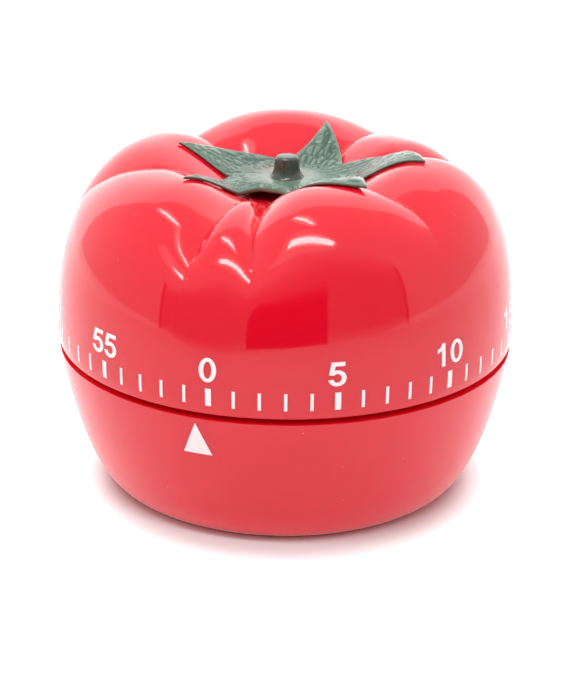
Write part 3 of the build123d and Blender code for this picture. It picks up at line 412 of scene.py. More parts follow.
# ---- calyx: a webbed star of sepals with its stem ----
calyx = {
    "seat": 0.35,  # mm over the skin
    "edgeSeat": 0.4,  # of the seat, at its edge
    "plate": 1.2,  # how far its flat middle stands over the seat
    "thickness": 1.1,
    "edgeThickness": 0.28,
    "tipShare": 0.42,  # of the thickness, out on the sepals
    "taper": (5, 6),  # reach at which the sepals start to thin, and over how far
    "edgeFall": 1.3,
    "creaseShare": 0.12,
    "hug": 2.6,  # how far in from its edge the leaf bends down to the skin
    "rings": 66,
    "innerRing": 0.12,
    "ringCrowding": 1.25,
    "flankPoints": 50,
    "bedStart": 1.5,  # step of the dial's skin
    "bedRows": (12, 34),  # before and after the crest
    "bedColumns": 26,
    "sepals": [  # reach and angle of a flank, the tip, the other flank and the next hollow
        ((15.3, 358.4), (21.2, 360.2), (16.3, 386.0), (10.6, 419.0)),
        ((13.7, 77.5), (16.6, 89.8), (12.7, 93.8), (9.1, 114.0)),
        ((13.9, 161.0), (17.5, 179.0), (12.9, 180.5), (8.8, 184.0)),
        ((12.8, 224.0), (18.6, 239.4), (10.5, 241.0), (5.8, 247.0)),
        ((5.3, 256.0), (5.3, 266.0), (5.3, 276.0), (6.4, 290.0)),
        ((15.3, 303.0), (21.5, 322.3), (16.4, 331.0), (10.6, 358.0)),
    ],
    "relief": 0.17,
    "reliefEdge": (0.1, 0.6),  # distance from the edge where the relief starts, and over how far it grows
    "reliefMiddle": (3.6, 3.2),  # the same from the axis
    "cellLength": 1.55,
    "cellsAround": 68,
    "grooveWidth": 0.26,  # of a cell
    "seed": 4,
}
stem = {
    "radius": 1.75,
    "rise": 3.2,
    "rounding": 0.6,
    "roundTurns": (15, 30, 45, 60, 75, 90),
    "sunk": 0.8,  # of the calyx's thickness, from its underside to the stem's base
    "footRadius": 2.2,
    "footSpread": 1.1,
    "footSink": 0.15,
    "lipSpread": 0.35,
    "lipRise": 0.22,
    "neckSpread": 0.12,
    "flareRise": 1.9,
    "flarePower": 2.6,
    "flareRows": 8,
    "crown": (0.35, 0.03),  # how far in from the rounding, and how far up
    "tip": (0.4, 0.06),  # radius, and how far up
    "waves": ((0.02, 3, 1, 0), (0.012, 5, 0, 1)),  # share of the radius, crests, phase and twist
    "columns": 48,
}
castHeight = 80  # mm, a start for rays that look down on the dial


def treeOf(grid):  # a grid of points, closed across, as something to cast rays on
    rows, columns = grid.shape[:2]
    points = [Vector(p) for p in grid.reshape(-1, 3)]
    return BVHTree.FromPolygons(points, wrapRows(rows, columns))


def flat(reach, angle):
    return np.array([reach * math.cos(math.radians(angle)), reach * math.sin(math.radians(angle))])


def through(a, b, c, count):  # an even curve from a to c that passes b
    share = np.linalg.norm(b - a) / (np.linalg.norm(b - a) + np.linalg.norm(c - b))
    t = np.linspace(0, 1, count, endpoint=False)[:, None]
    pull = (b - a * (1 - share) ** 2 - c * share**2) / (2 * share * (1 - share))
    return a * (1 - t) ** 2 + pull * 2 * t * (1 - t) + c * t**2


def calyxOutline():
    edge = []
    hollow = flat(*calyx["sepals"][-1][3])
    for row in calyx["sepals"]:
        before, tip, after, nextHollow = (flat(*pair) for pair in row)
        edge.append(through(hollow, before, tip, calyx["flankPoints"]))
        edge.append(through(tip, after, nextHollow, calyx["flankPoints"]))
        hollow = nextHollow
    return np.concatenate(edge)


def makeCalyx():
    start = calyx["bedStart"]
    steps = np.concatenate([start + np.linspace(0, 2 - start, calyx["bedRows"][0], endpoint=False),
                            2 + np.linspace(0, 1, calyx["bedRows"][1])])
    grids = [skinGrid(steps, calyx["bedColumns"], grow=grow, creaseShare=calyx["creaseShare"])
             for grow in (calyx["seat"], calyx["seat"] * calyx["edgeSeat"])]
    beds = [treeOf(grid) for grid in grids]
    floor = grids[0][-1][:, 2].mean()
    plate = floor + calyx["plate"]
    outline = calyxOutline()
    count = len(outline)
    fractions = 1 - (1 - np.linspace(calyx["innerRing"], 1, calyx["rings"])) ** calyx["ringCrowding"]
    fractions = fractions / fractions[-1]

    def bedHeight(x, y, away):
        high, low = (bed.ray_cast(Vector((x, y, castHeight)), Vector((0, 0, -1)))[0] for bed in beds)
        if not high or not low:
            return plate
        drop = max(1 - away / calyx["hug"], 0) ** 2
        return max(between(high.z, min(low.z, high.z), drop), plate)

    near = KDTree(count)
    for number, place in enumerate(outline):
        near.insert(Vector((*place, 0)), number)
    near.balance()
    tops, bottoms, masks = [], [], []
    for x, y in (point for fraction in fractions for point in outline * fraction):
        away, reach = near.find(Vector((x, y, 0)))[2], math.hypot(x, y)
        fill = min(away / calyx["edgeFall"], 1)
        fill = math.sqrt(fill * (2 - fill))
        body = calyx["thickness"] * (1 - (1 - calyx["tipShare"]) * reached(reach, *calyx["taper"]))
        height = bedHeight(x, y, away)
        bottoms.append((x, y, height))
        tops.append((x, y, height + calyx["edgeThickness"] + (body - calyx["edgeThickness"]) * fill))
        masks.append(reached(away, *calyx["reliefEdge"]) * reached(reach, *calyx["reliefMiddle"]))
    rings = len(fractions)
    offset, last = rings * count, (rings - 1) * count
    points = tops + bottoms + [(0, 0, plate + calyx["thickness"]), (0, 0, plate)]
    faces = turned(wrapRows(rings, count)) + wrapRows(rings, count, offset)
    faces += turned(fan(0, count, len(points) - 2)) + fan(offset, count, len(points) - 1)
    faces += band(last, offset + last, count)
    piece = meshObject("calyxLeaf", np.array(points) * mm, faces)
    mask = piece.data.attributes.new("reliefMask", "FLOAT", "POINT")
    mask.data.foreach_set("value", masks + [0.0] * (len(points) - len(masks)))
    bm = bmesh.new()
    bm.from_mesh(piece.data)
    bmesh.ops.recalc_face_normals(bm, faces=bm.faces)
    bm.to_mesh(piece.data)
    bm.free()
    return piece


def makeStem():
    seat = dial["edgeHeight"] + dial["hollowHeight"] + calyx["seat"] + calyx["plate"]
    base = seat + calyx["thickness"] * stem["sunk"]
    top = seat + calyx["thickness"] + stem["rise"]
    radius, rounding, foot = stem["radius"], stem["rounding"], stem["footRadius"]
    lip, neck = foot + stem["lipSpread"], radius + stem["neckSpread"]
    profile = [(foot + stem["footSpread"], base - stem["footSink"]), (lip, base + stem["lipRise"])]
    for step in range(1, stem["flareRows"] + 1):
        share = step / stem["flareRows"]
        profile.append((between(neck, lip, (1 - share) ** stem["flarePower"]),
                        base + stem["lipRise"] + stem["flareRise"] * share))
    profile.append((radius, top - rounding))
    for turn in stem["roundTurns"]:
        angle = math.radians(turn)
        profile.append((radius - rounding * (1 - math.cos(angle)), top - rounding * (1 - math.sin(angle))))
    peak = top + stem["tip"][1]
    profile += [(radius - rounding - stem["crown"][0], top + stem["crown"][1]), (stem["tip"][0], peak)]
    columns = stem["columns"]
    points = []
    for r, z in profile:
        for column in range(columns):
            turn = 2 * math.pi * column / columns
            wobble = sum((share * math.sin(crests * turn + phase + twist * z)
                          for share, crests, phase, twist in stem["waves"]), 1)
            points.append((r * wobble * math.cos(turn), r * wobble * math.sin(turn), z))
    points += [(0, 0, peak), (0, 0, base - stem["footSink"])]
    faces = wrapRows(len(profile), columns) + fan((len(profile) - 1) * columns, columns, len(points) - 2)
    faces += turned(fan(0, columns, len(points) - 1))
    return meshObject("calyxStem", np.array(points) * mm, faces)


calyxLeaf = makeCalyx()
calyxStem = makeStem()
print("calyx:", len(calyxLeaf.data.polygons), "faces")

# ---- printed scale ----
scale = {
    "zeroAzimuth": 3.5,
    "marks": 60,
    "figureEvery": 5,
    "bottom": 1.22,  # mm over the dial's edge
    "top": 3.75,
    "thin": 0.65,
    "thick": 1.22,
    "figureBottom": 4.72,
    "figureHeight": 3.38,
    "figureWidth": 0.76,  # of the height
    "figureSpacing": 1.1,
    "film": 0.03,
    "castRadius": 60,  # where rays that look at the wall start
    "tickRadius": 50,  # the same for the ticks
    "tickPoints": (4, 8),  # across and up
    "cutStep": 0.35,  # mm between the cuts that let a flat figure bend
    "cutReach": 4,
    "wallRows": (6, 80, 40),  # up the band, then a share of those over the shoulder
    "wallColumns": 60,
}
pointerMark = {"azimuth": 0.0, "top": -1.8, "bottom": -6.8, "halfWidth": 2.2, "rows": 14}


def arc(cx, cy, rx, ry, start, end, count=14):
    turns = np.radians(np.linspace(start, end, count))
    return [(cx + rx * math.cos(t), cy + ry * math.sin(t)) for t in turns]


figures = {  # outlines one unit tall, with holes after the first line of each
    "0": [arc(0.38, 0.5, 0.375, 0.51, 0, 360, 41)[:-1], arc(0.38, 0.5, 0.175, 0.36, 0, 360, 33)[:-1]],
    "1": [[(0.54, 0), (0.54, 1.01), (0.385, 1.01), (0.33, 0.91), (0.24, 0.83), (0.11, 0.78),
           (0.11, 0.62), (0.25, 0.665), (0.345, 0.73), (0.345, 0)]],
    "2": [arc(0.37, 0.69, 0.33, 0.325, 172, -28, 20) + [(0.55, 0.36), (0.4, 0.23), (0.33, 0.165),
          (0.7, 0.165), (0.7, 0), (0.02, 0), (0.06, 0.12), (0.15, 0.24), (0.3, 0.38),
          (0.43, 0.49)] + arc(0.365, 0.68, 0.14, 0.175, -38, 172, 14)],
    "3": [arc(0.36, 0.725, 0.3, 0.29, 165, -55, 18) + arc(0.36, 0.285, 0.34, 0.305, 52, -170, 20)
          + arc(0.36, 0.285, 0.145, 0.155, -168, 82, 14) + [(0.28, 0.44), (0.28, 0.585)]
          + arc(0.36, 0.725, 0.12, 0.14, -85, 162, 14)],
    "4": [[(0.62, 0), (0.62, 0.21), (0.73, 0.21), (0.73, 0.37), (0.62, 0.37), (0.62, 1),
           (0.45, 1), (0.03, 0.385), (0.03, 0.21), (0.43, 0.21), (0.43, 0)],
          [(0.43, 0.37), (0.43, 0.71), (0.2, 0.37)]],
    "5": [[(0.7, 1), (0.13, 1), (0.03, 0.475), (0.21, 0.45)]
          + arc(0.375, 0.325, 0.18, 0.185, 128, -165, 20)
          + arc(0.375, 0.325, 0.38, 0.34, -168, 108, 28) + [(0.29, 0.83), (0.7, 0.83)]],
}


def figureMesh(text):  # flat, cut small enough to lie on a curved wall, in mm
    curve = bpy.data.curves.new("figure", "CURVE")
    curve.dimensions = "2D"
    curve.fill_mode = "BOTH"
    height = scale["figureHeight"]
    step = scale["figureWidth"] * scale["figureSpacing"]
    across = -step * len(text) / 2
    for digit in text:
        for outline in figures[digit]:
            line = curve.splines.new("POLY")
            line.points.add(len(outline) - 1)
            line.use_cyclic_u = True
            for point, (x, y) in zip(line.points, outline):
                point.co = ((x + across) * height, y * height, 0, 1)
        across += step
    holder = bpy.data.objects.new("figure", curve)
    mesh = bpy.data.meshes.new_from_object(holder)
    bm = bmesh.new()
    bm.from_mesh(mesh)
    bpy.data.objects.remove(holder)
    bpy.data.curves.remove(curve)
    bpy.data.meshes.remove(mesh)
    bmesh.ops.dissolve_limit(bm, angle_limit=0.01, verts=bm.verts, edges=bm.edges)
    for normal, place in ((Vector((1, 0, 0)), -scale["cutReach"]), (Vector((0, 1, 0)), 0)):
        while place < scale["cutReach"]:
            bmesh.ops.bisect_plane(bm, geom=bm.verts[:] + bm.edges[:] + bm.faces[:],
                                   plane_co=normal * place, plane_no=normal)
            place += scale["cutStep"]
    return bm


def layOn(tree, bm, azimuth, height, wallRadius, film):  # bends a flat mesh on to a wall as a thin film
    bmesh.ops.recalc_face_normals(bm, faces=bm.faces)
    if sum(face.normal.z for face in bm.faces) < 0:
        bmesh.ops.reverse_faces(bm, faces=bm.faces)
    whole = bm.faces[:]
    made = bmesh.ops.extrude_face_region(bm, geom=whole)
    upper = {v for v in made["geom"] if isinstance(v, bmesh.types.BMVert)}
    for face in whole:
        if face.is_valid:
            face.normal_flip()
    for vert in bm.verts:
        turn = fromPointer(azimuth) + vert.co.x / wallRadius
        outward = Vector((math.cos(turn), math.sin(turn), 0))
        start = outward * scale["castRadius"] + Vector((0, 0, height + vert.co.y))
        hit, normal = tree.ray_cast(start, -outward)[:2]
        vert.co = hit + normal * (film if vert in upper else -film / 2)


def gather(name, parts):  # several edited meshes as one piece
    whole = bmesh.new()
    for bm in parts:
        part = bpy.data.meshes.new("part")
        bm.to_mesh(part)
        whole.from_mesh(part)
        bm.free()
        bpy.data.meshes.remove(part)
    bmesh.ops.remove_doubles(whole, verts=whole.verts, dist=1e-5)
    bmesh.ops.recalc_face_normals(whole, faces=whole.faces)
    bmesh.ops.scale(whole, vec=(mm, mm, mm), verts=whole.verts)
    mesh = bpy.data.meshes.new(name)
    whole.to_mesh(mesh)
    whole.free()
    return show(bpy.data.objects.new(name, mesh))


def makeFigures():
    bandRows, rows, kept = scale["wallRows"]
    steps = np.concatenate([np.linspace(0, 1, bandRows), 1 + np.linspace(0, 1, rows)[1:kept]])
    wall = treeOf(skinGrid(steps, scale["wallColumns"]))
    parts = []
    for number in range(0, scale["marks"], scale["figureEvery"]):
        bm = figureMesh(str(number))
        layOn(wall, bm, scale["zeroAzimuth"] + number * 360 / scale["marks"],
              dial["edgeHeight"] + scale["figureBottom"], dial["widest"], scale["film"])
        parts.append(bm)
    return gather("scaleFigures", parts)


scaleFigures = makeFigures()

bowl = {  # the lower shell's wall, as the CAD has it
    "rimHeight": 21.05,
    "rimRadius": 34.0,
    "footRadius": 25.3,
    "startPower": 1.13,
    "endPower": 1.97,
    "heights": (2.0, 21.0, 60),
    "columns": 480,
}


def bowlGrid(values):
    height = np.linspace(*values["heights"])[:, None]
    turns = np.linspace(0, 2 * math.pi, values["columns"], endpoint=False)[None, :]
    depth = np.minimum((values["rimHeight"] - height) / values["rimHeight"], 1)
    swell = (1 - depth ** values["startPower"]) ** (1 / values["endPower"])
    radius = between(values["footRadius"], values["rimRadius"], swell)
    return np.stack([radius * np.cos(turns), radius * np.sin(turns), height + 0 * turns], axis=-1)


def makePointer(values):
    bm = bmesh.new()
    grid = []
    for row in range(values["rows"] + 1):
        share = row / values["rows"]
        half = values["halfWidth"] * share
        level = between(values["top"], values["bottom"], share)
        grid.append([bm.verts.new((x * half, level, 0)) for x in (-1, -0.5, 0, 0.5, 1)] if row else
                    [bm.verts.new((0, level, 0))])
    for above, below in zip(grid, grid[1:]):
        if len(above) == 1:
            for one, two in zip(below, below[1:]):
                bm.faces.new((above[0], one, two))
        else:
            for k in range(4):
                bm.faces.new((above[k], below[k], below[k + 1], above[k + 1]))
    wall = treeOf(bowlGrid(bowl))
    layOn(wall, bm, values["azimuth"], dial["edgeHeight"], dial["edgeRadius"], scale["film"])
    return gather("pointerPrint", [bm])


pointerPrint = makePointer(pointerMark)
print("print:", len(scaleFigures.data.polygons), "faces")


def makeTicks():
    lengths = dict.fromkeys(("Start", "Radius", "Bottom", "Top", "Thin", "Thick", "Film"), "Float")
    tree, given = newTree("scaleTicks", "GeometryNodeTree",
                          {"Marks": "Int", **lengths, "Every": "Int", "Wall": "Object", "Ink": "Material"},
                          {"Geometry": "Geometry"})
    add, calc = toolsFor(tree)
    vector = partial(vectorNode, tree)
    index = add("GeometryNodeInputIndex")
    turn = calc("ADD", given["Start"], calc("MULTIPLY", index, calc("DIVIDE", 2 * math.pi, given["Marks"])))
    middle = calc("MULTIPLY", calc("ADD", given["Bottom"], given["Top"]), 0.5)
    spread = add("GeometryNodeSetPosition", {
        "Geometry": add("GeometryNodePoints", {"Count": given["Marks"]}),
        "Position": vector(calc("MULTIPLY", given["Radius"], calc("COSINE", turn)),
                           calc("MULTIPLY", given["Radius"], calc("SINE", turn)), middle)})
    fifth = add("FunctionNodeCompare", {"A": calc("MODULO", index, given["Every"])},
                data_type="INT", operation="EQUAL")
    breadth = add("GeometryNodeSwitch", {"Switch": fifth, "False": given["Thin"], "True": given["Thick"]},
                  input_type="FLOAT")
    across, up = scale["tickPoints"]
    slab = add("GeometryNodeMeshGrid", {"Size X": 1, "Size Y": 1, "Vertices X": across, "Vertices Y": up})
    place = add("GeometryNodeInstanceOnPoints", {
        "Points": spread,
        "Instance": slab,
        "Rotation": vector(math.pi / 2, 0, calc("ADD", turn, math.pi / 2)),
        "Scale": vector(breadth, calc("SUBTRACT", given["Top"], given["Bottom"]), 1)})
    real = add("GeometryNodeRealizeInstances", {0: place})
    spot = add("GeometryNodeInputPosition")
    parts = add("ShaderNodeSeparateXYZ", {0: spot}).outputs
    wall = add("GeometryNodeObjectInfo", {"Object": given["Wall"]}, transform_space="RELATIVE")
    cast = add("GeometryNodeRaycast", {
        "Target Geometry": wall.outputs["Geometry"],
        "Source Position": spot,
        "Ray Direction": vector(calc("MULTIPLY", parts["X"], -1), calc("MULTIPLY", parts["Y"], -1), 0)})
    sunk = vector(*[calc("MULTIPLY", given["Film"], -0.5)] * 3)
    lift = add("ShaderNodeVectorMath", {0: cast.outputs["Hit Normal"], 1: sunk,
                                        2: cast.outputs["Hit Position"]}, operation="MULTIPLY_ADD")
    wrap = add("GeometryNodeSetPosition", {"Geometry": real, "Position": lift})
    thick = add("GeometryNodeExtrudeMesh", {"Individual": False, "Mesh": wrap,
                                            "Offset Scale": calc("MULTIPLY", given["Film"], 1.5)})
    both = add("GeometryNodeJoinGeometry", {0: thick})
    feed(tree, add("GeometryNodeFlipFaces", {0: wrap}), both.inputs[0])
    sewn = add("GeometryNodeMergeByDistance", {"Distance": 1e-7, 0: both})
    inked = add("GeometryNodeSetMaterial", {"Geometry": sewn, "Material": given["Ink"]})
    add("NodeGroupOutput", {0: inked})
    return tree


def makeRelief():  # pebbled cells drawn out along the sepals, parted by grooves
    numbers = dict.fromkeys(("Cell Length", "Cells Around", "Relief", "Seed"), "Float")
    tree, given = newTree("calyxRelief", "GeometryNodeTree",
                          {"Geometry": "Geometry", **numbers, "Leaf": "Material"}, {"Geometry": "Geometry"})
    add, calc = toolsFor(tree)
    place = add("ShaderNodeSeparateXYZ", {0: add("GeometryNodeInputPosition")}).outputs
    reach = calc("SQRT", calc("ADD", calc("POWER", place[0], 2.0), calc("POWER", place[1], 2.0)))
    turn = calc("DIVIDE", calc("ARCTAN2", place[1], place[0]), 2 * math.pi)
    cells = vectorNode(tree, calc("DIVIDE", reach, given["Cell Length"]),
                       calc("MULTIPLY", turn, given["Cells Around"]), given["Seed"])
    pebbles = add("ShaderNodeTexVoronoi", {"Vector": cells, "Scale": 1.0}, feature="DISTANCE_TO_EDGE")
    rise = add("ShaderNodeMapRange", {"Value": pebbles, "From Max": calyx["grooveWidth"]},
               interpolation_type="SMOOTHSTEP")
    mask = add("GeometryNodeInputNamedAttribute", {"Name": "reliefMask"},
               data_type="FLOAT").outputs["Attribute"]
    lift = vectorNode(tree, 0, 0, calc("MULTIPLY", calc("MULTIPLY", rise, mask), given["Relief"]))
    moved = add("GeometryNodeSetPosition", {"Geometry": given["Geometry"], "Offset": lift})
    # The grooves' strength, kept for the leaf's finish, which paints shade into them.
    stored = add("GeometryNodeStoreNamedAttribute", {
        "Name": "groove",
        "Geometry": moved,
        "Value": calc("MULTIPLY", calc("SUBTRACT", 1.0, rise), mask)}, data_type="FLOAT", domain="POINT")
    painted = add("GeometryNodeSetMaterial", {"Geometry": stored, "Material": given["Leaf"]})
    add("NodeGroupOutput", {0: painted})
    return tree


# ---- shared shader effects ----
# Lengths in materials are in metres. A noise is given as its size, detail and roughness.
moulded = {
    "rippleNoise": (3.0, 0.45),
    "cloudNoise": (0.018, 3.0, 0.6),
    "fleckNoise": (1.0, 0.5),
    "fleckShare": 0.77,
    "patchNoise": (0.006, 2.0, 0.5),
    "patchShare": 0.6,
    "fleckColour": (0.9, 0.7, 0.7),
    "fleckStrength": 0.25,
    "lit": {"IOR": 1.5, "Subsurface Weight": 0.55, "Subsurface Radius": (1.0, 0.06, 0.08),
            "Subsurface Scale": 0.01},
}
rolled = {
    "lineNoise": (1.0, 2.0, 0.6),
    "soilNoise": (0.003, 4.0, 0.65),
    "soilFloor": 0.4,
    "lineHaze": 0.12,
    "soilHaze": 0.14,
}
ink = {
    "noise": (0.0005, 3.0, 0.6),
    "floor": 0.45,
    "strength": 0.9,
    "colour": (0.95, 0.86, 0.87),
    "thin": (0.92, 0.55, 0.6),
    "roughness": 0.38,
}


def noiseNode(tree, coords, size, detail, roughness):
    fineness = 1 / size if isinstance(size, float) else mathNode(tree, "DIVIDE", 1, size)
    return addNode(tree, "ShaderNodeTexNoise", {"Vector": coords, "Scale": fineness, "Detail": detail,
                                                "Roughness": roughness})


def objectCoords(tree):
    return addNode(tree, "ShaderNodeTexCoord").outputs["Object"]


def mixColours(tree, share, one, two):
    node = addNode(tree, "ShaderNodeMix", {"Factor": share, "A": one, "B": two}, data_type="RGBA")
    return node.outputs["Result"]


def makeMouldedSkin():  # the faint ripple, haze and flecks of polished moulded plastic
    tree, given = newTree("mouldedSkin", "ShaderNodeTree",
                          {"Ripple Size": 0.004, "Ripple Height": 0.00001, "Haze": 0.05,
                           "Haze Spread": 0.03, "Fleck Size": 0.0004},
                          {"Normal": "Vector", "Roughness": "Float", "Tone": "Float", "Flecks": "Float"})
    add, calc = toolsFor(tree)
    coords = objectCoords(tree)
    ripple = noiseNode(tree, coords, given["Ripple Size"], *moulded["rippleNoise"])
    cloud = noiseNode(tree, coords, *moulded["cloudNoise"])
    fleck = noiseNode(tree, coords, given["Fleck Size"], *moulded["fleckNoise"])
    patch = noiseNode(tree, coords, *moulded["patchNoise"])
    add("NodeGroupOutput", {
        "Normal": add("ShaderNodeBump", {"Distance": given["Ripple Height"], "Height": ripple}),
        "Roughness": calc("ADD", given["Haze"], calc("MULTIPLY", cloud, given["Haze Spread"])),
        "Tone": cloud,
        "Flecks": calc("MULTIPLY", calc("GREATER_THAN", fleck, moulded["fleckShare"]),
                       calc("GREATER_THAN", patch, moulded["patchShare"]))})
    return tree


def makeMetalGrain():  # fine lines of rolled or turned metal, with soiled patches
    tree, given = newTree("metalGrain", "ShaderNodeTree",
                          {"Line Size": 0.0002, "Line Length": 0.004, "Line Height": 0.000004, "Soil": 0.2},
                          {"Normal": "Vector", "Roughness": "Float", "Soiled": "Float"})
    add, calc = toolsFor(tree)
    coords = objectCoords(tree)
    fine = calc("DIVIDE", 1, given["Line Size"])
    size = vectorNode(tree, calc("DIVIDE", 1, given["Line Length"]), fine, fine)
    stretched = add("ShaderNodeVectorMath", {0: coords, 1: size}, operation="MULTIPLY")
    lines = noiseNode(tree, stretched, *rolled["lineNoise"])
    soil = noiseNode(tree, coords, *rolled["soilNoise"])
    add("NodeGroupOutput", {
        "Normal": add("ShaderNodeBump", {"Distance": given["Line Height"], "Height": lines}),
        "Soiled": calc("MULTIPLY", calc("SUBTRACT", soil, rolled["soilFloor"], clamp=True), given["Soil"]),
        "Roughness": calc("ADD", calc("MULTIPLY", lines, rolled["lineHaze"]),
                          calc("MULTIPLY", soil, rolled["soilHaze"]))})
    return tree


mouldedSkin = makeMouldedSkin()
metalGrain = makeMetalGrain()


def newMaterial(name, values=None):
    material = bpy.data.materials.new(name)
    material.use_nodes = True
    tree = material.node_tree
    shader = tree.nodes["Principled BSDF"]
    fill(tree, shader, values or {})
    return material, tree, shader


def surfaced(name, settings, group, form):  # a material with the roughness and normal of an effect
    material, tree, shader = newMaterial(name, settings)
    made = addNode(tree, "ShaderNodeGroup", dict(enumerate(form)), node_tree=group).outputs
    fill(tree, shader, {"Roughness": made["Roughness"], "Normal": made["Normal"]})
    return material, tree, shader, made


def plastic(name, colour, deep, *form):
    material, tree, shader, made = surfaced(name, moulded["lit"], mouldedSkin, form)
    tone = mixColours(tree, made["Tone"], colour, deep)
    flecks = mathNode(tree, "MULTIPLY", made["Flecks"], moulded["fleckStrength"])
    fill(tree, shader, {"Base Color": mixColours(tree, flecks, tone, moulded["fleckColour"])})
    return material


def metal(name, colour, soiled, roughness, *form):
    material, tree, shader, made = surfaced(name, {"Metallic": 1.0}, metalGrain, form)
    fill(tree, shader, {"Base Color": mixColours(tree, made["Soiled"], colour, soiled),
                        "Roughness": mathNode(tree, "ADD", made["Roughness"], roughness, clamp=True)})
    return material


def leafGreen(name, light, shade, deep, *form):
    material, tree, shader, made = surfaced(name, {"IOR": moulded["lit"]["IOR"]}, mouldedSkin, form)
    # Painted shade: where the relief's grooves lie, the colour goes to the dark colour given as deep.
    groove = addNode(tree, "ShaderNodeAttribute", attribute_name="groove").outputs["Fac"]
    tone = mixColours(tree, made["Tone"], light, shade)
    fill(tree, shader, {"Base Color": mixColours(tree, groove, tone, deep)})
    return material


def makeInk(values):
    material, tree, shader = newMaterial("whiteInk", {"Roughness": values["roughness"]})
    worn = noiseNode(tree, objectCoords(tree), *values["noise"])
    thin = mathNode(tree, "MULTIPLY", mathNode(tree, "SUBTRACT", worn, values["floor"], clamp=True),
                    values["strength"])
    fill(tree, shader, {"Base Color": mixColours(tree, thin, values["colour"], values["thin"])})
    return material


# A form is what its effect is given, in order: ripple size and height, haze and its spread for
# plastic and leaf, and line size, length and height and soil for metal.
finishes = {
    "red_dial": plastic("dialRed", (0.9, 0.005, 0.023), (0.87, 0.004, 0.019), 0.006, 0.000012, 0.045, 0.03),
    "red_case": plastic("caseRed", (0.92, 0.008, 0.028), (0.89, 0.006, 0.024), 0.004, 0.00002, 0.17, 0.08),
    "plate_steel": metal("plateSteel", (0.62, 0.62, 0.63), (0.38, 0.35, 0.31), 0.22,
                         0.00015, 0.006, 0.000004, 0.5),
    "bright_steel": metal("brightSteel", (0.72, 0.72, 0.73), (0.45, 0.42, 0.38), 0.12,
                          0.0001, 0.0008, 0.000002, 0.3),
    "spring_steel": metal("springSteel", (0.2, 0.23, 0.32), (0.3, 0.24, 0.16), 0.2,
                          0.0001, 0.003, 0.000002, 0.5),
    "bell_metal": metal("bellNickel", (0.75, 0.75, 0.74), (0.55, 0.53, 0.48), 0.08,
                        0.0002, 0.002, 0.000002, 0.25),
    "brass": metal("stampedBrass", (0.8, 0.58, 0.26), (0.42, 0.28, 0.12), 0.2,
                   0.00012, 0.004, 0.000003, 0.6),
    # The leaf's last colour is painted shade for the grooves of its relief.
    "leaf_green": leafGreen("leafGreen", (0.135, 0.215, 0.155), (0.105, 0.175, 0.125), (0.04, 0.08, 0.058),
                            0.0009, 0.00006, 0.13, 0.1),
}
# Painted shade: the stem is the leaf's green plastic made darker, for the shade it stands in between the
# lobes.
stemGreen = leafGreen("stemGreen", (0.06, 0.085, 0.062), (0.045, 0.065, 0.048), (0.03, 0.05, 0.04),
                      0.0009, 0.00006, 0.05, 0.1)
whiteInk = makeInk(ink)
slotOf = {row["node"]: row["material_slot"] for row in frame["record"]["subparts"]}
for name, piece in nodes.items():
    paint(piece, finishes[slotOf[name]])
print("finishes:", len(finishes) + 2)

# ---- dress the frame ----
dialRed, leaf = finishes["red_dial"], finishes["leaf_green"]
scaleTicks = show(bpy.data.objects.new("scaleTicks", bpy.data.meshes.new("scaleTicks")))
dress(scaleTicks, makeTicks(), {
    "Marks": scale["marks"],
    "Every": scale["figureEvery"],
    "Start": fromPointer(scale["zeroAzimuth"]),
    "Radius": scale["tickRadius"] * mm,
    "Bottom": (dial["edgeHeight"] + scale["bottom"]) * mm,
    "Top": (dial["edgeHeight"] + scale["top"]) * mm,
    "Thin": scale["thin"] * mm,
    "Thick": scale["thick"] * mm,
    "Film": scale["film"] * mm,
    "Wall": dialSkin,
    "Ink": whiteInk,
})
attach(scaleTicks, "dial")
paint(calyxLeaf, leaf)
dress(calyxLeaf, makeRelief(), {
    "Cell Length": calyx["cellLength"] * mm,
    "Cells Around": float(calyx["cellsAround"]),
    "Relief": calyx["relief"] * mm,
    "Seed": float(calyx["seed"]),
    "Leaf": leaf,
})
for piece, finish, body in (
        (dialSkin, dialRed, "dial"),
        (dialHub, dialRed, "dial"),
        (dialRib, dialRed, "dial"),
        (calyxLeaf, leaf, "dial"),
        (calyxStem, stemGreen, "dial"),
        (scaleFigures, whiteInk, "dial"),
        (pointerPrint, whiteInk, "case")):
    paint(piece, finish)
    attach(piece, body)
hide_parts("dial_shell")
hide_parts("calyx")
print("ticks:", len(scaleTicks.data.polygons), "faces")

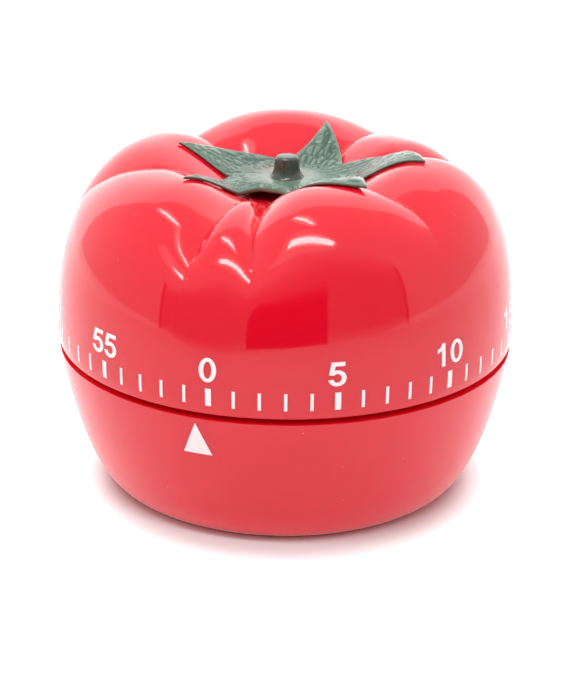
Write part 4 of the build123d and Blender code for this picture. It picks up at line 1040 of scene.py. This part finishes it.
# ---- studio ----
# Places are mm to the right, in front and above, as the camera sees the object. Spans of the
# floor and the opening are in metres.
studio = {
    "floorSize": 3000,
    "floorDrop": 0.02,  # under the feet
    "floorColour": (0.92, 0.92, 0.92),
    "floorSeen": (0.80, 0.92, 0.92),  # for camera rays, against the red that the object throws on the table
    "floorRoughness": 0.6,
    "floorLift": 0.5,  # for camera rays only, so that the table reads as white, except near the foot
    "shadowRingPlace": (0, 4, 0),
    "shadowRingSpan": (0.025, 0.0325),  # from that place; the glow is off inside this ring, so the cast shadow shows only there and its edge is painted
    "floorSheen": (0.32, 0.95),  # a glow seen only in reflections, a painted reflection of a brighter table, weaker in front of the object and stronger far behind it
    "sheenPlace": (0, 260, 0),
    "sheenSpan": (0.3, 0.7),
    "sky": 0.7,
    # The sky is brighter in reflections than in the light it gives: a painted reflection.
    "glossySky": 1.12,
    "cards": {  # side to side, bottom to top, distance in front, and strength
        "backSweep": ((-390, 390), (2, 820), -320, 2.1),
        "frameLeft": ((-690, -655), (2, 560), 390, 0.10),
        "frameRight": ((655, 690), (2, 400), 390, 0.10),
    },
    "opening": {  # a brighter wall over a dim room, straight in front
        "across": (-690, 690),
        "upwards": (2, 640),
        "distance": 400,
        "wall": (0.45, 1.12),  # strength low and high on the wall
        "wallRise": (0.24, 0.60),
        "skirting": (0.05, 0.45),  # a soft rise to the table, its height and strength
        "room": (-0.158, 0.138),
        "roomEdge": 0.002,
        "roomTop": (0.15, 0.27),
    },
    "lamps": {  # place, width and depth, turn, outline, power, and whether it shows in gloss
        "keyCore": ((-44, 228, 476), (400, 44), -5, "RECTANGLE", 0.70, True),
        "keyEdge": ((-44, 228, 478), (440, 84), -5, "ELLIPSE", 0.26, True),
        "keyGlow": ((-60, 228, 480), (520, 160), -5, "ELLIPSE", 0.14, True),
        "sideCore": ((-104, 4, 478), (230, 26), 42, "ELLIPSE", 0.2, True),
        "sideGlow": ((-104, 4, 480), (280, 90), 42, "ELLIPSE", 0.12, True),
        "overhead": ((0, -90, 560), (420, 420), 0, "ELLIPSE", 0.55, False),
    },
    "lampAim": (0, 0, 30),
}
white = (1, 1, 1)


def studioPlace(right, infront, up):
    near = Vector((towardsCamera.x, towardsCamera.y, 0)).normalized()
    side = Vector((-near.y, near.x, 0))
    return (side * right + near * infront + Vector((0, 0, up))) * mm


def rampNode(tree, value, span, results):  # a soft step from one result to the other
    return addNode(tree, "ShaderNodeMapRange", {"Value": value, "From Min": span[0], "From Max": span[1],
                                                "To Min": results[0], "To Max": results[1]},
                   interpolation_type="SMOOTHSTEP")


def distanceFrom(tree, place):
    return addNode(tree, "ShaderNodeVectorMath", {0: objectCoords(tree), 1: studioPlace(*place)},
                   operation="DISTANCE").outputs["Value"]


def makeFloor():
    half = studio["floorSize"] / 2
    corners = [(-half, -half), (half, -half), (half, half), (-half, half)]
    floor = meshObject("studioFloor", [Vector((x, y, -studio["floorDrop"])) * mm for x, y in corners],
                       [(0, 1, 2, 3)], smooth=False)
    material, tree, shader = newMaterial("floorWhite", {"Roughness": studio["floorRoughness"],
                                                        "Emission Color": white})
    add, calc = toolsFor(tree)
    rays = add("ShaderNodeLightPath").outputs
    far, near = (distanceFrom(tree, studio[place]) for place in ("sheenPlace", "shadowRingPlace"))
    # Painted reflection: the floor glows for glossy rays only, more so far behind the object.
    sheen = rampNode(tree, far, studio["sheenSpan"], studio["floorSheen"])
    # Painted shadow edge: the camera-ray glow fades out near the foot, so only there does the cast shadow
    # show.
    lift = rampNode(tree, near, studio["shadowRingSpan"], (0, studio["floorLift"]))
    fill(tree, shader, {
        "Base Color": mixColours(tree, rays["Is Camera Ray"], studio["floorColour"], studio["floorSeen"]),
        "Emission Strength": calc("ADD", calc("MULTIPLY", rays["Is Camera Ray"], lift),
                                  calc("MULTIPLY", rays["Is Glossy Ray"], sheen))})
    seen = add("ShaderNodeMixShader", {  # from below the table lets the underside show
        "Fac": add("ShaderNodeNewGeometry").outputs["Backfacing"],
        1: shader,
        2: add("ShaderNodeBsdfTransparent")})
    fill(tree, tree.nodes["Material Output"], {"Surface": seen})
    paint(floor, material)


def makeWorld():
    world = bpy.data.worlds.new("studioWorld")
    bpy.context.scene.world = world
    world.use_nodes = True
    tree = world.node_tree
    add, calc = toolsFor(tree)
    rays = add("ShaderNodeLightPath").outputs
    lift = calc("MULTIPLY", rays["Is Camera Ray"], 1 - studio["sky"])
    sheen = calc("MULTIPLY", rays["Is Glossy Ray"], studio["glossySky"] - studio["sky"])
    fill(tree, tree.nodes["Background"], {"Color": white,
                                          "Strength": calc("ADD", calc("ADD", lift, sheen), studio["sky"])})


def makeCard(name, across, upwards, infront, strength):  # a board that only lights and shows in reflections
    corners = [(right, up) for up in upwards for right in across]
    corners = [corners[k] for k in (0, 1, 3, 2)]
    card = meshObject(name, [studioPlace(right, infront, up) for right, up in corners], [(0, 1, 2, 3)],
                      smooth=False)
    material, tree, shader = newMaterial(name, {"Base Color": (0, 0, 0), "Specular IOR Level": 0,
                                                "Emission Color": white, "Emission Strength": strength})
    paint(card, material)
    sheet = card.data.uv_layers.new(name="UVMap")
    for corner, place in zip(sheet.data, corners):
        corner.uv = (place[0] * mm, place[1] * mm)
    card.visible_camera = False
    return tree, shader


def makeOpening(values):
    tree, shader = makeCard("roomOpening", values["across"], values["upwards"], values["distance"], 1)
    add, calc = toolsFor(tree)
    axes = add("ShaderNodeSeparateXYZ", {"Vector": add("ShaderNodeUVMap")}).outputs
    right, up = axes["X"], axes["Y"]
    low = rampNode(tree, up, (0, values["skirting"][0]), (values["skirting"][1], 0))
    wall = calc("ADD", low, rampNode(tree, up, values["wallRise"], values["wall"]))
    left, end = values["room"]
    edge = values["roomEdge"]
    inside = calc("MULTIPLY", rampNode(tree, right, (left - edge, left + edge), (0, 1)),
                  rampNode(tree, right, (end - edge, end + edge), (1, 0)))
    room = calc("MULTIPLY", inside, rampNode(tree, up, values["roomTop"], (1, 0)))
    fill(tree, shader, {"Emission Strength": calc("MULTIPLY", wall, calc("SUBTRACT", 1, room))})


def makeLamp(name, place, size, turn, outline, power, glossy):
    data = bpy.data.lights.new(name, "AREA")
    data.shape = outline
    data.size, data.size_y = size[0] * mm, size[1] * mm
    data.energy = power
    lamp = show(bpy.data.objects.new(name, data))
    lamp.location = studioPlace(*place)
    aim = Vector(studio["lampAim"]) * mm - lamp.location
    lamp.rotation_euler = aim.to_track_quat("-Z", "Y").to_euler()
    lamp.rotation_euler.rotate_axis("Z", math.radians(turn))
    lamp.visible_camera = False
    lamp.visible_glossy = glossy


makeFloor()
makeWorld()
for name, values in studio["cards"].items():
    makeCard(name, *values)
makeOpening(studio["opening"])
for name, values in studio["lamps"].items():
    makeLamp(name, *values)
bpy.context.scene.view_settings.view_transform = "Standard"
print("studio:", len(studio["cards"]), "cards,", len(studio["lamps"]), "lamps")
